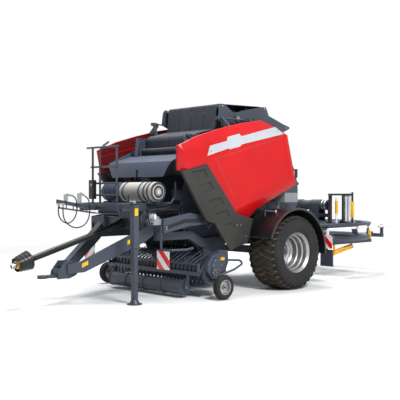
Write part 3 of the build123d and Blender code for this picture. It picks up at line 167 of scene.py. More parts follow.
# %% Enamel paints
def enamel(name, hex_code, shade_code, roughness, coat):
    """Sprayed enamel: a colour that drifts a little towards its shade, over a faint orange peel."""
    tree, shader, place = new_material(name, Roughness=roughness, Coat_Weight=coat, Coat_Roughness=0.08,
                                       Specular_IOR_Level=0.3)
    cloud = spread(tree, grain(tree, place, 650, 3), 0.35, 0.68)
    fleck = spread(tree, grain(tree, place, 24, 4), 0.45, 0.62, 0.0, 0.3)
    tint(tree, shader, math_node(tree, "MAXIMUM", cloud, fleck), hex_code, shade_code)
    emboss(tree, shader, grain(tree, place, 9), 0.25)


PAINTS = {
    # name: colour, its shade, roughness, clear coat
    "slate_enamel": ("3F4652", "353B46", 0.42, 0.1),
    "charcoal_enamel": ("1C1F25", "16181D", 0.45, 0.1),
    "red_enamel": ("C2060E", "B0050C", 0.38, 0.08),
    # painted shade: a darker copy of the door red, for the doors' inner faces that lie in shade
    "door_inside_painted_shade": ("640306", "560305", 0.6, 0.0),
    "hood_enamel": ("4C5668", "444D5E", 0.42, 0.1),
    "white_enamel": ("E6E8EA", "D8DADC", 0.35, 0.2),
    "grey_enamel": ("8F9499", "83888E", 0.4, 0.15),
    "yellow_enamel": ("F0B400", "DDA300", 0.35, 0.25),
    "bare_silver": ("B9BDC2", "ABAFB5", 0.35, 0.2),
}
for name, values in PAINTS.items():
    enamel(name, *values)

# %% [markdown]
# ## Plastics
# The lower door panels are moulded polypropylene with a fine spark-eroded grain that scatters light, so they look
# flat and a little warm. The mudguards and the shaft guard are blow moulded polythene: blacker and slightly waxy.


# %% Moulded plastics
def moulded(name, hex_code, shade_code, roughness, grain_mm, depth_mm):
    """Moulded plastic with a leathery mould grain, drawn coarse enough to catch light."""
    tree, shader, place = new_material(name, Roughness=roughness, IOR=1.5, Specular_IOR_Level=0.4)
    tint(tree, shader, spread(tree, grain(tree, place, 420, 3), 0.35, 0.7), hex_code, shade_code)
    emboss(tree, shader, grain(tree, place, grain_mm, 3, 0.6), depth_mm)


moulded("grained_polypropylene", "2E2D2A", "272624", 0.62, 7, 0.5)
moulded("black_polythene", "121315", "18191C", 0.34, 12, 0.15)
moulded("glossy_black", "2A2C30", "24262A", 0.22, 20, 0.05)

# %% [markdown]
# ## Tyre rubber
# Flotation tyres are carbon black rubber. The walls stay dark with a faint bloom, while the tread picks up pale, earthy
# dust along its edges and in its grooves, where it isn't rubbed away.

# %% Rubbers
TYRE_R, CARCASS_R = 0.610, 0.584
tree, shader, place = new_material("tyre_rubber", Roughness=0.75, Specular_IOR_Level=0.35)
bloom = spread(tree, grain(tree, place, 180, 4), 0.4, 0.75)
wheel_plane = add_node(tree, "Mapping", {"Location": (-AXLE_X, 0, -TYRE_R), "Scale": (1, 0, 1)}, {"Vector": place})
from_axle = add_node(tree, "VectorMath", {"operation": "LENGTH"}, {0: wheel_plane.outputs[0]}).outputs["Value"]
groove = math_node(tree, "MULTIPLY", spread(tree, from_axle, 0.575, 0.588), spread(tree, from_axle, 0.608, 0.590))
dust = math_node(tree, "MULTIPLY", groove, spread(tree, grain(tree, place, 45, 5, 0.6), 0.35, 0.65, 0.25, 1.0))
tint(tree, shader, dust, blend_colours(tree, bloom, "17181A", "232322"), "6A5B44")
emboss(tree, shader, grain(tree, place, 5, 3), 0.6)

tree, shader, place = new_material("ribbed_belting", Roughness=0.6, Specular_IOR_Level=0.4)
diamond = add_node(tree, "TexVoronoi", {"feature": "DISTANCE_TO_EDGE", "Scale": 1000 / 26}, {"Vector": place})
tint(tree, shader, spread(tree, grain(tree, place, 300, 4), 0.4, 0.75), "262B33", "303640")
emboss(tree, shader, spread(tree, diamond.outputs["Distance"], 0.0, 0.25), 1.5)

tree, shader, place = new_material("hose_rubber", Roughness=0.45, Specular_IOR_Level=0.45)
tint(tree, shader, grain(tree, place, 30), "121315", "1D1F22")
emboss(tree, shader, grain(tree, place, 4), 0.3)

# %% [markdown]
# ## Bright metals
# Machined steel and aluminium keep their own metal colour. Turning leaves fine rings, so the roughness varies in thin
# bands and the highlight breaks up along them. The wheels are sprayed silver, which is paint full of metal flakes.


# %% Metals
def bright_metal(name, hex_code, shade_code, roughness, band_mm, stretch):
    """Bare or metallic-painted metal with fine bands left by its tool."""
    tree, shader, place = new_material(name, Metallic=1.0)
    bands = grain(tree, place, band_mm, 3, 0.6, stretch)
    tint(tree, shader, spread(tree, grain(tree, place, 240, 3), 0.35, 0.7), hex_code, shade_code)
    tree.links.new(spread(tree, bands, 0.3, 0.7, roughness - 0.08, roughness + 0.1), shader.inputs["Roughness"])
    emboss(tree, shader, bands, 0.12)


bright_metal("turned_steel", "B8BABC", "9EA1A4", 0.34, 6, (1, 6, 1))
bright_metal("ribbed_aluminium", "D2D4D6", "BEC1C4", 0.3, 8, (1, 1, 30))
bright_metal("silver_wheel_paint", "A8A8A8", "989796", 0.42, 3, (1, 1, 1))

# %% [markdown]
# ## Net wrap
# Net wrap is a knitted polyethylene mesh, wound tight on a cardboard core. Its fine diagonal threads show as a soft
# cross hatching on milky white. The far part of the roll is painted dark blue-grey: painted shade where it lies in
# shadow.

# %% Knitted net
PAINTED_SHADE_EDGE = 0.155                  # the painted shade begins here, right of the middle
tree, shader, place = new_material("net_knit_with_painted_shade", Roughness=0.7, Specular_IOR_Level=0.3)
threads = []
for turn in (0.0, 1.6):
    turned = add_node(tree, "Mapping", {"Rotation": (turn, 0, 0)}, {"Vector": place}).outputs[0]
    threads.append(add_node(tree, "TexWave", {"bands_direction": "DIAGONAL", "Scale": 1000 / 60, "Distortion": 0.6},
                            {"Vector": turned}).outputs["Fac"])
hatching = math_node(tree, "MAXIMUM", *threads)
# painted shade: past this edge the roll is tinted dark blue-grey instead of milky white
painted_shade_mask = math_node(tree, "GREATER_THAN", add_node(tree, "SeparateXYZ", links={0: place}).outputs["Y"], PAINTED_SHADE_EDGE)
tint(tree, shader, painted_shade_mask, blend_colours(tree, hatching, "9C9A94", "C9C6BE"),
     blend_colours(tree, hatching, "2C333F", "3A4352"))
emboss(tree, shader, hatching, 0.8)
moulded("wound_net", "3A404A", "30363F", 0.7, 5, 0.4)
moulded("core_board", "A8977C", "97866C", 0.8, 8, 0.3)

# %% [markdown]
# ## Warning boards and lenses
# Warning boards carry diagonal bands of red and white reflective film. The bands are drawn by a simple sum of the
# height and the distance from the middle, cut into steps, so they lean the same way on both sides of the machine. Lamp
# lenses are clear acrylic dyed red, smooth and glossy.

# %% Reflective film and lenses
BAND_PERIOD = 0.240                 # a red and a white band together, measured along the height
tree, shader, place = new_material("banded_film", Roughness=0.3, Coat_Weight=0.5, Coat_Roughness=0.1)
parts = add_node(tree, "SeparateXYZ", links={0: place}).outputs
leaning = math_node(tree, "ADD", parts["Z"], math_node(tree, "ABSOLUTE", parts["Y"]))
step = math_node(tree, "FRACT", math_node(tree, "MULTIPLY", leaning, 1 / BAND_PERIOD))
cell = grain(tree, place, 8)
tint(tree, shader, math_node(tree, "GREATER_THAN", step, 0.5), blend_colours(tree, cell, "E8E8E6", "D5D6D8"), "D8141A")
emboss(tree, shader, cell, 0.15)

tree, shader, place = new_material("red_lens", Roughness=0.12, Coat_Weight=0.6, Coat_Roughness=0.03)
flutes = grain(tree, place, 9)
tint(tree, shader, flutes, "C80F12", "8E0808")
emboss(tree, shader, flutes, 0.5)

# %% [markdown]
# ## Dressing the measured pieces
# Most CAD pieces already have their true shape, so they only need their finish.

# %% Finishes for the CAD nodes
DRESS = {
    "slate_enamel": ("chassis_frame", "axle", "drawbar", "hitch_eye", "gearbox", "stand_tube", "stand_leg",
                     "front_deck", "hose_rack", "chamber_walls", "belt_tensioner", "net_cradle", "lamp_carriers",
                     "wrapper_frame", "pickup_frame", "pickup_bands", "windguard", "crop_roller",
                     "tailgate_shell", "wrap_table", "carousel_ring"),
    "charcoal_enamel": ("feed_rotor", "tine_reel", "film_dispensers"),
    "red_enamel": ("door_left", "door_right"),
    "hood_enamel": ("net_hood",),
    "white_enamel": ("safety_bars",),
    "grey_enamel": ("tool_boxes",),
    "yellow_enamel": ("frame_cylinders",),
    "grained_polypropylene": ("lower_panel_left", "lower_panel_right"),
    "black_polythene": ("shaft_guard", "control_box", "fenders", "tailgate_lamps"),
    "tyre_rubber": ("tyre_left", "tyre_right", "gauge_tyre_left", "gauge_tyre_right"),
    "ribbed_belting": ("belts", "table_belts"),
    "hose_rubber": ("hose_front", "hose_rear"),
    "turned_steel": ("shaft_yoke", "hose_plugs", "valve_block"),
    "ribbed_aluminium": ("film_rollers",),
    "silver_wheel_paint": ("rim_left", "rim_right", "gauge_rim_left", "gauge_rim_right"),
    "net_knit_with_painted_shade": ("net_rolls",),
    "banded_film": ("warning_boards",),
    "red_lens": ("rear_lamps",),
}
for finish, nodes in DRESS.items():
    for node in nodes:
        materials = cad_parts[node].data.materials
        materials.clear()
        materials.append(finishes[finish])
print("undressed", sorted(set(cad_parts) - {n for nodes in DRESS.values() for n in nodes}))

# %% [markdown]
# ## Shaping helpers
# Each piece below is drawn as a short profile that is spun, or as a block that is cut and bevelled, and then rides on
# the body that carries it. Lengths are in metres, and stations along the machine are counted from the axle.


# %% Shaping helpers
def finish_piece(name, mesh, finish_names, body, replaced=None, angle=35):
    """Makes an object from a bmesh, with its finishes, sharp only where faces meet at more than the angle."""
    bmesh.ops.remove_doubles(mesh, verts=mesh.verts, dist=1e-5)
    bmesh.ops.recalc_face_normals(mesh, faces=mesh.faces)
    data = bpy.data.meshes.new(name)
    mesh.to_mesh(data)
    mesh.free()
    for finish in finish_names:
        data.materials.append(finishes[finish])
    data.shade_smooth()
    data.set_sharp_from_angle(angle=math.radians(angle))
    made = bpy.data.objects.new(name, data)
    scene.collection.objects.link(made)
    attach(made, body)
    if replaced:
        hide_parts(replaced)


def add_vert(mesh, place):
    return bmesh.ops.create_vert(mesh, co=place)["vert"][0]


def paint_faces(faces, finish):
    """Gives faces the piece's finish of that number."""
    for face in faces:
        face.material_index = finish


def spin_profile(mesh, points, centre, steps, axis=(0, 1, 0), across=(1, 0, 0)):
    """Spins a closed (radius, distance along the axis) profile about an axis through the centre."""
    axis, across, centre = Vector(axis).normalized(), Vector(across).normalized(), Vector(centre)
    chain = [add_vert(mesh, centre + across * radius + axis * along) for radius, along in points]
    edges = [mesh.edges.new(pair) for pair in zip(chain, chain[1:] + chain[:1])]
    bmesh.ops.spin(mesh, geom=chain + edges, cent=centre, axis=axis, angle=math.tau, steps=steps, use_merge=True)


def add_box(mesh, low, high, bevel=0.0, finish=0):
    """A box between two corners (station, y, height), its edges bevelled."""
    size = [b - a for a, b in zip(low, high)]
    middle = Vector([(a + b) / 2 for a, b in zip(low, high)]) + Vector((AXLE_X, 0, 0))
    made = bmesh.ops.create_cube(mesh, size=1, matrix=Matrix.Translation(middle) @ Matrix.Diagonal((*size, 1)))
    paint_faces({face for vert in made["verts"] for face in vert.link_faces}, finish)
    if bevel:
        edges = list(dict.fromkeys(edge for vert in made["verts"] for edge in vert.link_edges))
        bmesh.ops.bevel(mesh, geom=edges, offset=bevel, segments=2, profile=0.5, affect="EDGES", material=-1)


def add_side_box(mesh, side, low, high, bevel=0.0, finish=0):
    """A box given for the right side (side 1), or its mirror image on the left (side -1)."""
    near, far = sorted((side * low[1], side * high[1]))
    add_box(mesh, (low[0], near, low[2]), (high[0], far, high[2]), bevel, finish)


def add_rod(mesh, start, end, radius, sides=12, finish=0, end_radius=None):
    """A round bar or taper between two (station, y, height) points."""
    start, end = Vector(start) + Vector((AXLE_X, 0, 0)), Vector(end) + Vector((AXLE_X, 0, 0))
    turn = (end - start).to_track_quat("Z", "Y").to_matrix().to_4x4()
    place = Matrix.Translation((start + end) / 2) @ turn
    made = bmesh.ops.create_cone(mesh, cap_ends=True, segments=sides, radius1=radius,
                                 radius2=radius if end_radius is None else end_radius,
                                 depth=(end - start).length, matrix=place)
    paint_faces({face for vert in made["verts"] for face in vert.link_faces}, finish)


def cross_rod(mesh, x, z, start_y, end_y, radius, sides=12, finish=0):
    """A round bar across the machine."""
    add_rod(mesh, (x, start_y, z), (x, end_y, z), radius, sides, finish)


def upright_rod(mesh, x, y, low, high, radius, sides=12, finish=0, end_radius=None):
    """A round bar or taper that stands upright."""
    add_rod(mesh, (x, y, low), (x, y, high), radius, sides, finish, end_radius)


def bent_rod(mesh, points, radius, sides, ball_rings=0, finish=0):
    """Round bars along a chain of points, with a ball of that many rings at each bend."""
    for start, end in zip(points, points[1:]):
        add_rod(mesh, start, end, radius, sides, finish)
    if ball_rings:
        for x, y, z in points[1:-1]:
            bmesh.ops.create_uvsphere(mesh, u_segments=sides, v_segments=ball_rings, radius=radius,
                                      matrix=Matrix.Translation((AXLE_X + x, y, z)))


def bolt_ring(mesh, centre, ring_radius, count, size, depth, direction, finish=1):
    """Hexagon bolt heads on a circle across the machine's Y axis."""
    x, y, z = centre
    for index in range(count):
        turn = math.tau * index / count
        cross_rod(mesh, x + ring_radius * math.cos(turn), z + ring_radius * math.sin(turn), y, y + direction * depth,
                  size, 6, finish)


def smooth_curve(name, points, radius, roundness, steps):
    """A NURBS line through its end points, with a round section and that many steps for each point."""
    curve = bpy.data.curves.new(name, "CURVE")
    curve.dimensions = "3D"
    curve.bevel_depth = radius
    curve.bevel_resolution = roundness
    curve.use_fill_caps = True
    spline = curve.splines.new("NURBS")
    spline.points.add(len(points) - 1)
    for target, point in zip(spline.points, points):
        target.co = (*point, 1)
    spline.order_u = 3
    spline.use_endpoint_u = True
    spline.resolution_u = steps
    return curve


def curve_mesh(curve):
    """The mesh that a curve draws."""
    holder = bpy.data.objects.new(curve.name, curve)
    mesh = bpy.data.meshes.new_from_object(holder)
    bpy.data.objects.remove(holder)
    return mesh


# %% [markdown]
# ## Road wheels
# The flotation tyres are 0.62 m wide, with narrow lugs that run in zig-zags from the middle of the tread to the
# shoulder, the two rows set half a pitch apart. The wheels are deep dished: the barrel steps down three times.

# %% Tyres
TYRE_W, TYRE_FACE, BEAD_R = 0.620, 1.495, 0.318
HALF_W = TYRE_W / 2
TYRE_SECTION = (
    # radius, depth from the tyre's side; one half of the section from bead to crown
    (BEAD_R, 0.070), (BEAD_R + 0.004, 0.050), (BEAD_R + 0.020, 0.040), (BEAD_R + 0.034, 0.030), (0.385, 0.014),
    (0.392, 0.010), (0.398, 0.011), (0.440, 0.003), (0.480, 0.000), (0.515, 0.004), (0.545, 0.018), (0.562, 0.040),
    (0.575, 0.080), (CARCASS_R, 0.150), (CARCASS_R, HALF_W),
)
CROWN_SECTION = TYRE_SECTION[8:]    # from the widest place up
LUG_COUNT, LUG_STATIONS = 34, 8
LUG_ZIGZAG, LUG_LEAN = 0.034, 0.05  # radians: each kink, and the whole lug's slant
LUG_MID, LUG_END = 0.012, 0.008     # how far a lug stays off the tread's middle, and off the tyre's side
LUG_TAPER = (0.021, 0.017)          # half width of a lug at the middle of the tread and at the shoulder
LUG_ROOT = 0.004                    # how deep a lug sits in the carcass
LUG_EDGES = ((0, -1.25), (1, -0.85), (1, 0.85), (0, 1.25))      # root or top, and share of the half width


def crown(depth):
    """The carcass radius at a depth from the tyre's side."""
    for (r0, d0), (r1, d1) in zip(CROWN_SECTION, CROWN_SECTION[1:]):
        if d0 <= depth <= d1:
            return r0 + (r1 - r0) * (depth - d0) / (d1 - d0)
    return CARCASS_R


def add_lug(mesh, middle, half, turn):
    """One lug, swept from the middle of the tread over the shoulder; the tread's middle is at y = middle."""
    sections = []
    for index in range(LUG_STATIONS + 1):
        share = index / LUG_STATIONS
        depth = HALF_W - LUG_MID - share * (HALF_W - LUG_MID - LUG_END)
        width = LUG_TAPER[0] + share * (LUG_TAPER[1] - LUG_TAPER[0])
        angle = turn + LUG_ZIGZAG * (1 - abs((4 * share) % 4 - 2)) + LUG_LEAN * share
        levels = (crown(depth) - LUG_ROOT, min(TYRE_R, crown(depth) + TYRE_R - CARCASS_R))
        ring = []
        for level, edge in LUG_EDGES:
            spot = angle + edge * width / TYRE_R
            ring.append(add_vert(mesh, (AXLE_X + levels[level] * math.cos(spot), middle + half * (HALF_W - depth),
                                        TYRE_R + levels[level] * math.sin(spot))))
        sections.append(ring)
    for near, far in zip(sections, sections[1:]):
        for a in range(3):
            mesh.faces.new((near[a], near[a + 1], far[a + 1], far[a]))
    mesh.faces.new(sections[0])
    mesh.faces.new(sections[-1])


def whole_section(half_section, face, width, side):
    """Both halves of a tyre's section, as (radius, y) points."""
    near = [(r, side * (face - depth)) for r, depth in half_section]
    return near + [(r, side * (face - width + depth)) for r, depth in reversed(half_section[:-1])]


for side, name in SIDES:
    mesh = bmesh.new()
    spin_profile(mesh, whole_section(TYRE_SECTION, TYRE_FACE, TYRE_W, side), (AXLE_X, 0, TYRE_R), 96)
    for half, offset in ((-1, 0.0), (1, 0.5)):
        for index in range(LUG_COUNT):
            turn = 1.5 * math.pi + math.tau * (index + offset) / LUG_COUNT
            add_lug(mesh, side * (TYRE_FACE - HALF_W), half, turn)
    finish_piece(f"tread_{name}", mesh, ["tyre_rubber"], f"wheel_{name}", f"tyre_{name}")

# %% Rims
RIM_PROFILE = (
    # radius, depth from the tyre's outer side: lip, three steps, dish, disc, hub, then the back of the barrel
    (0.330, 0.044), (0.334, 0.052), (0.330, 0.062), (0.318, 0.072), (0.300, 0.076), (0.300, 0.545), (0.318, 0.550),
    (0.332, 0.566), (0.326, 0.574), (0.306, 0.566), (0.290, 0.545), (0.285, 0.400), (0.110, 0.400), (0.105, 0.440),
    (0.0405, 0.440), (0.0405, 0.335), (0.092, 0.335), (0.100, 0.343), (0.108, 0.376), (0.172, 0.378), (0.186, 0.366),
    (0.225, 0.362), (0.246, 0.340), (0.252, 0.255), (0.268, 0.242), (0.272, 0.160), (0.290, 0.148), (0.296, 0.082),
    (0.312, 0.066), (0.322, 0.050),
)
DISC_DEPTH, HUB_DEPTH = 0.379, 0.335
for side, name in SIDES:
    mesh = bmesh.new()
    spin_profile(mesh, [(r, side * (TYRE_FACE - depth)) for r, depth in RIM_PROFILE], (AXLE_X, 0, TYRE_R), 72)
    bolt_ring(mesh, (0, side * (TYRE_FACE - DISC_DEPTH), TYRE_R), 0.1400, 10, 0.0165, 0.022, side)
    cross_rod(mesh, 0, TYRE_R + 0.074, side * (TYRE_FACE - HUB_DEPTH), side * (TYRE_FACE - HUB_DEPTH + 0.009), 0.008,
              6, 1)
    add_rod(mesh, (0.262, side * (TYRE_FACE - 0.20), TYRE_R), (0.245, side * (TYRE_FACE - 0.15), TYRE_R), 0.006, 12, 1)
    finish_piece(f"dished_rim_{name}", mesh, ["silver_wheel_paint", "turned_steel"], f"wheel_{name}",
                 f"rim_{name}")

# %% Gauge wheels
GAUGE_X, GAUGE_Z, GAUGE_R, GAUGE_W, GAUGE_FACE = -1.690, 0.190, 0.185, 0.130, 1.495
GAUGE_SECTION = (
    # radius, depth from the tyre's side
    (0.108, 0.026), (0.114, 0.016), (0.130, 0.008), (0.150, 0.004), (0.165, 0.012), (0.176, 0.024), (0.183, 0.036),
    (GAUGE_R, 0.044), (0.178, 0.046), (0.178, 0.052), (GAUGE_R, 0.054), (GAUGE_R, GAUGE_W / 2),
)
GAUGE_RIM = (
    (0.112, 0.018), (0.112, 0.112), (0.100, 0.112), (0.096, 0.078), (0.036, 0.078), (0.032, 0.126), (0.0165, 0.126),
    (0.0165, 0.034), (0.030, 0.034), (0.036, 0.060), (0.088, 0.062), (0.098, 0.040), (0.102, 0.020),
)
GAUGE_CENTRE = (AXLE_X + GAUGE_X, 0, GAUGE_Z)
for side, name in SIDES:
    mesh = bmesh.new()
    spin_profile(mesh, whole_section(GAUGE_SECTION, GAUGE_FACE, GAUGE_W, side), GAUGE_CENTRE, 48)
    finish_piece(f"gauge_tread_{name}", mesh, ["tyre_rubber"], f"gauge_{name}", f"gauge_tyre_{name}")
    mesh = bmesh.new()
    spin_profile(mesh, [(r, side * (GAUGE_FACE - depth)) for r, depth in GAUGE_RIM], GAUGE_CENTRE, 40)
    bolt_ring(mesh, (GAUGE_X, side * (GAUGE_FACE - 0.061), GAUGE_Z), 0.058, 5, 0.009, 0.009, side)
    finish_piece(f"gauge_dish_{name}", mesh, ["silver_wheel_paint", "turned_steel"], f"gauge_{name}",
                 f"gauge_rim_{name}")

# %% [markdown]
# ## Drive shaft
# A black sleeve covers the spinning shaft. At the tractor's end it opens into a ribbed boot round the joint, with a
# yellow locking collar in its mouth and a forged yoke in front.

# %% Shaft sleeve, boot and collar
SHAFT_TIP, SHAFT_END = Vector((-4.400, 0, 0.575)), Vector((-2.440, 0, 1.134))
SHAFT = (SHAFT_END - SHAFT_TIP).normalized()
SHAFT_UP = Vector((0, 1, 0)).cross(SHAFT) * -1
SHAFT_RUN = (SHAFT_END - SHAFT_TIP).length
BOOT = (
    # radius, distance from the tip: inside of the mouth, ribs, shoulder, sleeve, rear cup
    (0.092, 0.075), (0.102, 0.070), (0.106, 0.088), (0.101, 0.096), (0.103, 0.112), (0.114, 0.118), (0.115, 0.130),
    (0.108, 0.137), (0.112, 0.160), (0.122, 0.166), (0.123, 0.180), (0.116, 0.187), (0.120, 0.212), (0.131, 0.218),
    (0.132, 0.232), (0.124, 0.239), (0.127, 0.262), (0.138, 0.268), (0.139, 0.284), (0.130, 0.294), (0.105, 0.308),
    (0.062, 0.322), (0.050, 0.345), (0.045, 0.360), (0.045, SHAFT_RUN - 0.300), (0.052, SHAFT_RUN - 0.280),
    (0.058, SHAFT_RUN - 0.200), (0.080, SHAFT_RUN - 0.060), (0.080, SHAFT_RUN - 0.042), (0.070, SHAFT_RUN - 0.042),
    (0.030, SHAFT_RUN - 0.150), (0.030, 0.330), (0.118, 0.288), (0.100, 0.180),
)
COLLAR = ((0.037, 0.078), (0.060, 0.078), (0.064, 0.084), (0.064, 0.104), (0.058, 0.110), (0.037, 0.110))
shaft_origin = SHAFT_TIP + Vector((AXLE_X, 0, 0))
mesh = bmesh.new()
spin_profile(mesh, BOOT, shaft_origin, 48, SHAFT, SHAFT_UP)
finish_piece("shaft_sleeve", mesh, ["black_polythene"], "chassis", "shaft_guard")
mesh = bmesh.new()
spin_profile(mesh, COLLAR, shaft_origin, 36, SHAFT, SHAFT_UP)
finish_piece("locking_collar", mesh, ["yellow_enamel"], "drive_shaft")

# %% [markdown]
# ## Side doors
# Each door is one sheet, folded along three lines so that its front and its lower edge turn in, with a large field
# pressed into it. The outline, the folds and the field are laid out flat, cut into faces where their lines cross, and
# each corner then moves in by its distance past the folds. The dark lower panel is made the same way, with five
# pockets.

# %% Folded and pressed sheets
DOOR_FACE, DOOR_WALL, PANEL_PROUD = 1.075, 0.040, 0.014
SEAM = ((-2.113, 1.933), (-1.692, 2.033), (-1.048, 1.270), (-0.671, 1.175))
DOOR_OUTLINE = ((-2.244, 2.297), (-1.841, 2.461), (-1.406, 2.585), (-0.901, 2.704), (-0.413, 2.785), (0.210, 2.574),
                (0.345, 2.091), (0.441, 1.725), (0.102, 1.584), (-0.538, 1.319)) + SEAM[::-1] + ((-2.200, 1.925),)
PANEL_OUTLINE = SEAM + ((-0.788, 0.794), (-1.198, 0.693), (-1.521, 1.124), (-1.664, 1.163), (-2.200, 1.925))
DOOR_MIDDLE = Vector((-1.0, 2.0))
# each fold: its two ends (station, height), and how far the sheet turns in for each metre past it
DOOR_FOLDS = (((-2.185, 2.297), (-2.085, 1.925), 0.9), ((-0.707, 1.429), (0.384, 1.743), 0.3),
              ((-1.646, 2.326), (-0.137, 2.698), 0.25))
PANEL_FOLDS = (((-2.121, 1.920), (-1.453, 1.051), 0.4),)
DOOR_FIELD = ((-1.518, 2.139), (0.130, 2.556), (0.320, 1.858), (-1.113, 1.528))
POCKETS = (((-2.020, 1.911), (-1.744, 1.954)), ((-1.866, 1.701), (-1.621, 1.766)), ((-1.656, 1.473), (-1.405, 1.535)),
           ((-1.513, 1.279), (-1.257, 1.326)), ((-1.313, 1.107), (-1.126, 1.140)))
POCKET_STEP = (0.085, -0.115)
DECAL = ((-1.679, 2.159), (-1.626, 2.314), (-1.263, 2.405), (-1.233, 2.470), (-0.968, 2.535), (-0.930, 2.495),
         (-0.113, 2.691), (0.110, 2.585), (-0.914, 2.367), (-0.961, 2.330), (-1.188, 2.277), (-1.218, 2.290))


def past_fold(point, fold):
    """How far in a (station, height) point moves for a fold; less than 0 on the side of the door's middle."""
    start, end, slope = fold
    run = (Vector(end) - Vector(start)).normalized()
    across = Vector((run.y, -run.x))
    if across.dot(DOOR_MIDDLE - Vector(start)) > 0:
        across.negate()
    return slope * across.dot(Vector(point) - Vector(start))


def draw_out(mesh, faces, run):
    """Copies faces along run with walls between, and returns all that is new."""
    made = bmesh.ops.extrude_face_region(mesh, geom=faces, use_keep_orig=True)["geom"]
    bmesh.ops.translate(mesh, verts=[part for part in made if isinstance(part, bmesh.types.BMVert)], vec=run)
    return made


def faces_of(parts):
    return [part for part in parts if isinstance(part, bmesh.types.BMFace)]


def pressed_sheet(mesh, corners, folds, face_y, wall, side, fields=(), depth=0.0, slope=0.0, inner_finish=0):
    """A folded sheet whose outer side stands at y = side * face_y, with fields pressed in by depth."""
    points, edges, faces = [], [], []
    for loop in (corners, *fields):
        turned = sum(x0 * z1 - x1 * z0 for (x0, z0), (x1, z1) in zip(loop, loop[1:] + loop[:1]))
        faces.append(list(range(len(points), len(points) + len(loop))))
        points += [Vector(c) for c in (loop if turned > 0 else loop[::-1])]
    for start, end, _ in folds:
        run = Vector(end) - Vector(start)
        edges.append((len(points), len(points) + 1))
        points += [Vector(start) - run, Vector(end) + run]
    flat, _, triangles, _, _, owners = delaunay_2d_cdt(points, edges, faces, 0, 1e-5)
    spots = []
    for x, z in flat:
        inward = max([0.0] + [past_fold((x, z), fold) for fold in folds])
        spots.append(add_vert(mesh, (AXLE_X + x, side * (face_y - inward), z)))
    sheet, pressed = [], []
    for triangle, owner in zip(triangles, owners):
        if 0 not in owner:          # the outline is face 0, and each field comes after it
            continue
        made = mesh.faces.new([spots[i] for i in triangle])
        made.normal_update()
        if made.normal.y * side < 0:
            made.normal_flip()
        sheet.append(made)
        if len(owner) > 1:
            pressed.append(made)
    bmesh.ops.delete(mesh, geom=[v for v in spots if not v.link_faces], context="VERTS")
    if pressed:
        sheet += bmesh.ops.inset_region(mesh, faces=pressed, thickness=slope, depth=-depth,
                                        use_even_offset=True)["faces"]
    inside = [face for face in faces_of(draw_out(mesh, sheet, (0, -side * wall, 0))) if abs(face.normal.y) > 0.5]
    paint_faces(inside, inner_finish)


def ease_edges(mesh, offset, least_angle):
    """Rounds every edge where faces meet at more than the least angle."""
    mesh.normal_update()
    bmesh.ops.dissolve_limit(mesh, angle_limit=math.radians(0.3), verts=mesh.verts, edges=mesh.edges,
                             delimit={"MATERIAL"})
    sharp = [e for e in mesh.edges if e.is_manifold and e.calc_face_angle(0) > math.radians(least_angle)]
    bmesh.ops.bevel(mesh, geom=sharp, offset=offset, segments=2, profile=0.5, affect="EDGES", clamp_overlap=True)


def add_prism(mesh, corners, run, finish=0):
    """A flat plate: its (station, y, height) corners, drawn out along run."""
    spots = [add_vert(mesh, (AXLE_X + x, y, z)) for x, y, z in corners]
    made = draw_out(mesh, [mesh.faces.new(spots)], run)
    paint_faces({face for vert in spots for face in vert.link_faces} | set(faces_of(made)), finish)


def add_side_plate(mesh, outline, start_y, thickness):
    """A plate across Y: a (station, height) outline from start_y on."""
    add_prism(mesh, [(x, start_y, z) for x, z in outline], (0, thickness, 0))


# %% Doors, strips and lower panels
HINGE_Y, HINGE_Z, ARM_REACH = 0.800, 2.790, DOOR_FACE - DOOR_WALL
